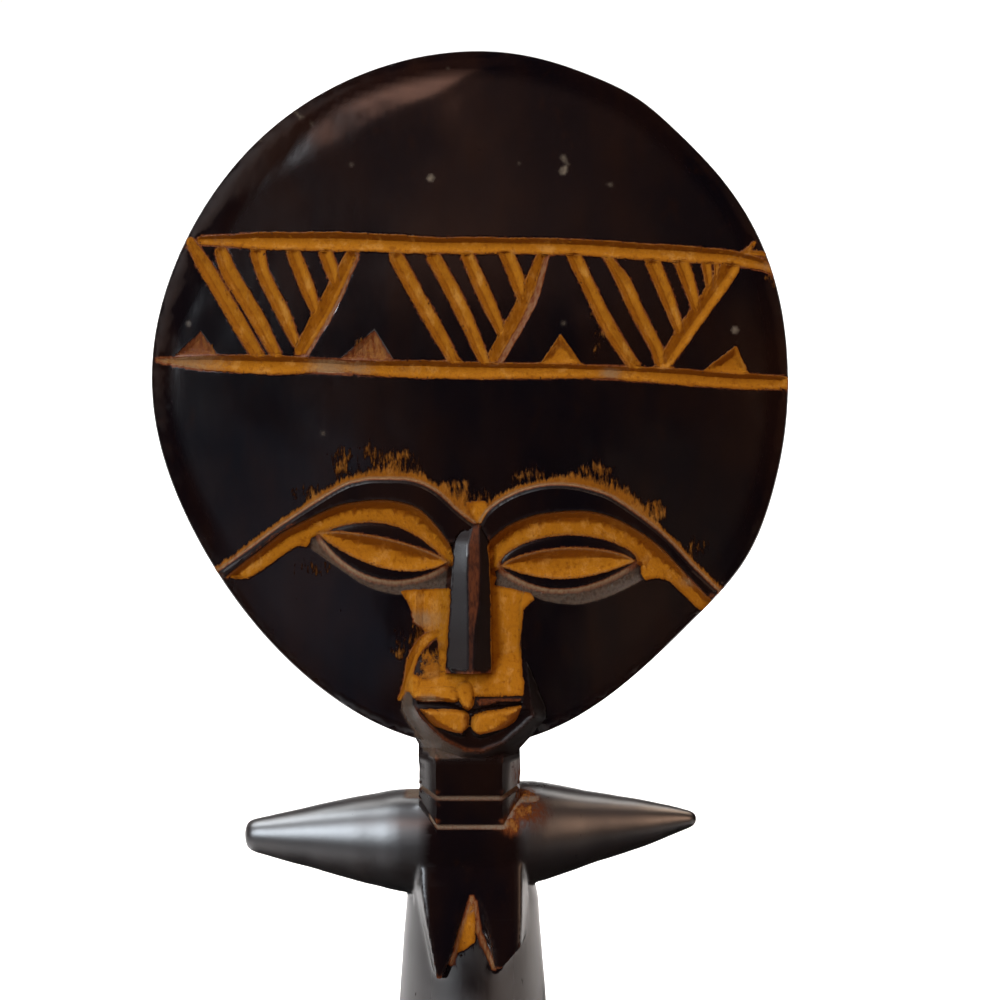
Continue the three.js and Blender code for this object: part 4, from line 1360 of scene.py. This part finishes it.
class FigureLook(bpy.types.PropertyGroup):
    """The figure's fineness and finish."""

    skin: bpy.props.FloatProperty(
        name="Body skin", description="Size of the cells that melt the body's parts together",
        default=0.6 * MM, min=0.3 * MM, max=3 * MM, precision=5, unit="LENGTH",
    )
    ochre: colour_setting("Ochre", "Ochre where it lies thick", (0.222, 0.082, 0.005))
    # Deep ochre is also the painted shade on walls that face down and at the bottoms of cuts
    thin_and_shaded_ochre: colour_setting("Deep ochre", "Ochre where it is thin", (0.1, 0.027, 0.0015))
    ochre_light: colour_setting("Pale ochre", "Dry grains of ochre", (0.27, 0.122, 0.022))
    stain: colour_setting("Stain", "Black stain", (0.0018, 0.0012, 0.0018))
    stain_brown: colour_setting("Brown", "Brown that shows through it", (0.006, 0.0022, 0.0014))
    red_wood: colour_setting("Red wood", "Wood under thin stain", (0.085, 0.022, 0.006))
    bare_wood: colour_setting("Bare wood", "Wood on rubbed edges", (0.15, 0.092, 0.045))
    scuff: colour_setting("Scuffs", "Dust and scratches", (0.115, 0.093, 0.068))
    edge_wear: share_setting("Edge wear", "How much stain is rubbed off the edges", 0.45, 0, 1)
    polish: share_setting("Polish", "Roughness of the waxed stain", 0.115, 0.1, 0.8)


class StageLook(bpy.types.PropertyGroup):
    """The floor, the lights and the camera."""

    floor: colour_setting("Floor", "Colour of the floor", (0.88, 0.88, 0.88))
    window: power_setting("Window", "Power of the window light", 2.5)
    glow: power_setting("Glow", "Power of the warm light on the right", 0.55)
    sides: power_setting("Sides", "Power of the lights over the floor's sides", 2.2)
    ceiling: power_setting("Ceiling", "Power of the light over the floor", 20)
    lamp: power_setting("Lamp", "Power of the dim warm light over the camera", 0.16)
    distance: bpy.props.FloatProperty(
        name="Camera distance", description="From the camera to the face",
        default=0.65, min=0.2, max=5, unit="LENGTH",
    )


# Making the figure


class DOLL_OT_figure(bpy.types.Operator):
    """Carve the doll figure and finish it"""

    bl_idname = "doll.figure"
    bl_label = "Carve Figure"
    bl_options = {"REGISTER", "UNDO"}

    def execute(self, context):
        look = context.scene.doll_figure
        figure = figure_mesh(look.skin / MM)
        mark(figure.data)
        figure.data.transform(Matrix.Scale(MM, 4))
        figure.data.materials.clear()
        figure.data.materials.append(stained_wood(look))
        figure.data.shade_smooth()
        figure.data.set_sharp_from_angle(angle=math.radians(22))
        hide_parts("figure")
        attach(figure, "root")
        return {"FINISHED"}


# The studio


def floor_profile():
    """Radius and height of the floor, from its middle out and up the low wall at its end."""
    flat, curve, wall = 1.3, 0.6, 0.9
    profile = [(0, 0), (0.4, 0), (0.9, 0), (flat, 0)]
    for turn in np.linspace(0, math.pi / 2, 13)[1:]:
        profile.append((flat + curve * math.sin(turn), curve * (1 - math.cos(turn))))
    return [*profile, (flat + curve, wall)]


def sweep_floor():
    """A round floor that curves up into a low wall all round, so that it has no visible edge."""
    profile, count = floor_profile(), 128
    turns = np.linspace(0, 2 * math.pi, count + 1)[:-1]
    vertices = [(0, 0, 0)]
    vertices += [(r * math.cos(t), r * math.sin(t), z) for r, z in profile[1:] for t in turns]
    faces = [(0, 1 + i, 1 + (i + 1) % count) for i in range(count)]
    for row in range(len(profile) - 2):
        for i in range(count):
            a, b = 1 + row * count + i, 1 + row * count + (i + 1) % count
            faces.append((a, a + count, b + count, b))
    floor = mesh_from("floor", vertices, faces)
    floor.data.shade_smooth()
    return floor


def lay_floor(look):
    floor = sweep_floor()
    material = bpy.data.materials.new("Pale floor")
    s = Shading(material)
    shade = rgba([0.97 * c for c in look.floor])
    colour = s.mix(s.step(s.noise(60, detail=4), 0.3, 0.7), rgba(look.floor), shade)
    s.finish(**{"Base Color": colour, "Roughness": 0.8, "Specular IOR Level": 0.2})
    floor.data.materials.append(material)


def set_cards():
    """Black cards that only the polish mirrors: two on the floor and one before the figure."""
    black = bpy.data.materials.new("Black card")
    Shading(black).finish(**{"Base Color": rgba((0.005, 0.005, 0.005)), "Roughness": 1.0,
                             "Specular IOR Level": 0.0})
    for name, (left, near, low), (right, far, high) in (
        ("card_near", (-0.12, -0.4, 0.004), (0.2, 0.25, 0.004)),
        ("card_far", (-1, -1.1, 0.004), (1, -0.58, 0.004)),
        ("card_front", (-1, -1.1, 0), (1, -1.1, 0.95)),
    ):
        corners = ((left, near, low), (right, near, low), (right, far, high), (left, far, high))
        card = mesh_from(name, corners, [(0, 1, 2, 3)])
        card.visible_camera = card.visible_diffuse = card.visible_shadow = False
        card.data.materials.append(black)


def hang_light(name, place, target, size, power, colour, spread):
    """A soft rectangular light at a place in metres, turned to a target, its spread in degrees."""
    data = bpy.data.lights.new(name, "AREA")
    data.shape, (data.size, data.size_y) = "RECTANGLE", size
    data.energy, data.color, data.spread = power, colour, math.radians(spread)
    obj = bpy.data.objects.new(name, data)
    obj.location = place
    obj.rotation_euler = (Vector(target) - Vector(place)).to_track_quat("-Z", "Y").to_euler()
    obj.visible_camera = False
    bpy.context.scene.collection.objects.link(obj)


def hang_lights(look):
    """The window and the lesser lights, all soft. The last three are for the floor."""
    white, cool, blue = (1, 1, 1), (0.84, 0.92, 1), (0.5, 0.7, 1)
    cream, warm, red = (1, 0.74, 0.55), (1, 0.62, 0.42), (1, 0.52, 0.38)
    for name, place, size, power, colour in (
        ("window", (-0.59, -0.81, 0.74), (0.4, 1.0), look.window, cool),
        ("glow", (0.62, -0.72, 0.55), (0.4, 0.9), look.glow, warm),
        ("shelf", (0.3, 0.05, 1.1), (0.4, 0.4), 0.14 * look.glow, warm),
        ("sky", (-0.35, 0, 1), (0.5, 0.4), 0.25 * look.window, cool),
        ("haze", (0, -0.85, 0.78), (0.8, 0.4), 0.025 * look.glow, red),
        ("veil_left", (-0.3, -1.05, 0.2), (0.3, 0.5), 0.005, blue),
        ("veil_right", (0.3, -1.05, 0.2), (0.3, 0.5), 0.003, cream),
    ):
        hang_light(name, place, (0, 0, 0.2), size, power, colour, 50)
    hang_light("lamp", (-0.2, -0.9, 1.2), (0, 0.03, 0.3), (0.5, 0.32), look.lamp, red, 50)
    for name, (x, y, z), size, power, colour, spread in (
        ("left", (-0.55, 0.1, 0.95), (0.5, 0.5), look.sides, white, 90),
        ("right", (0.55, 0.2, 0.95), (0.5, 0.5), look.sides, cream, 90),
        ("ceiling", (0, 1.05, 1.5), (1.5, 1.2), look.ceiling, white, 75),
    ):
        hang_light(name, (x, y, z), (x, y, 0), size, power, colour, spread)
    world = bpy.data.worlds.new("Studio")
    world.use_nodes = True
    world.node_tree.nodes["Background"].inputs["Color"].default_value = (0.03, 0.016, 0.012, 1)
    bpy.context.scene.world = world
    bpy.context.scene.view_settings.view_transform = "Standard"


def set_camera(look):
    """A camera square to the face, over what is the middle of the photograph."""
    data = bpy.data.cameras.new("camera")
    data.sensor_width, data.lens = SENSOR, SENSOR * look.distance / VIEW_WIDTH
    camera = bpy.data.objects.new("camera", data)
    camera.location = MM * (head_matrix() @ Vector((*VIEW_MIDDLE, look.distance / MM)))
    camera.rotation_euler = (math.pi / 2 - HEAD_LEAN, 0, 0)
    bpy.context.scene.collection.objects.link(camera)
    bpy.context.scene.camera = camera


class DOLL_OT_stage(bpy.types.Operator):
    """Lay the floor, hang the lights and place the camera"""

    bl_idname = "doll.stage"
    bl_label = "Set Stage"
    bl_options = {"REGISTER", "UNDO"}

    def execute(self, context):
        look = context.scene.doll_stage
        lay_floor(look)
        set_cards()
        hang_lights(look)
        set_camera(look)
        return {"FINISHED"}


# The sidebar and the run


class DOLL_PT_panel(bpy.types.Panel):
    """Carved doll figure"""

    bl_label = "Carved Doll"
    bl_category = "Doll"
    bl_space_type = "VIEW_3D"
    bl_region_type = "UI"

    def draw(self, context):
        parts = (("doll_figure", FigureLook, DOLL_OT_figure), ("doll_stage", StageLook, DOLL_OT_stage))
        for name, group, operator in parts:
            box = self.layout.box()
            settings = getattr(context.scene, name)
            for setting in group.__annotations__:
                box.prop(settings, setting)
            box.operator(operator.bl_idname)


CLASSES = (FigureLook, StageLook, DOLL_OT_figure, DOLL_OT_stage, DOLL_PT_panel)


def register():
    for each in CLASSES:
        bpy.utils.register_class(each)
    bpy.types.Scene.doll_figure = bpy.props.PointerProperty(type=FigureLook)
    bpy.types.Scene.doll_stage = bpy.props.PointerProperty(type=StageLook)


def unregister():
    del bpy.types.Scene.doll_stage
    del bpy.types.Scene.doll_figure
    for each in reversed(CLASSES):
        bpy.utils.unregister_class(each)


def main():
    register()
    bpy.ops.doll.figure()
    bpy.ops.doll.stage()


if __name__ == "__main__":
    main()
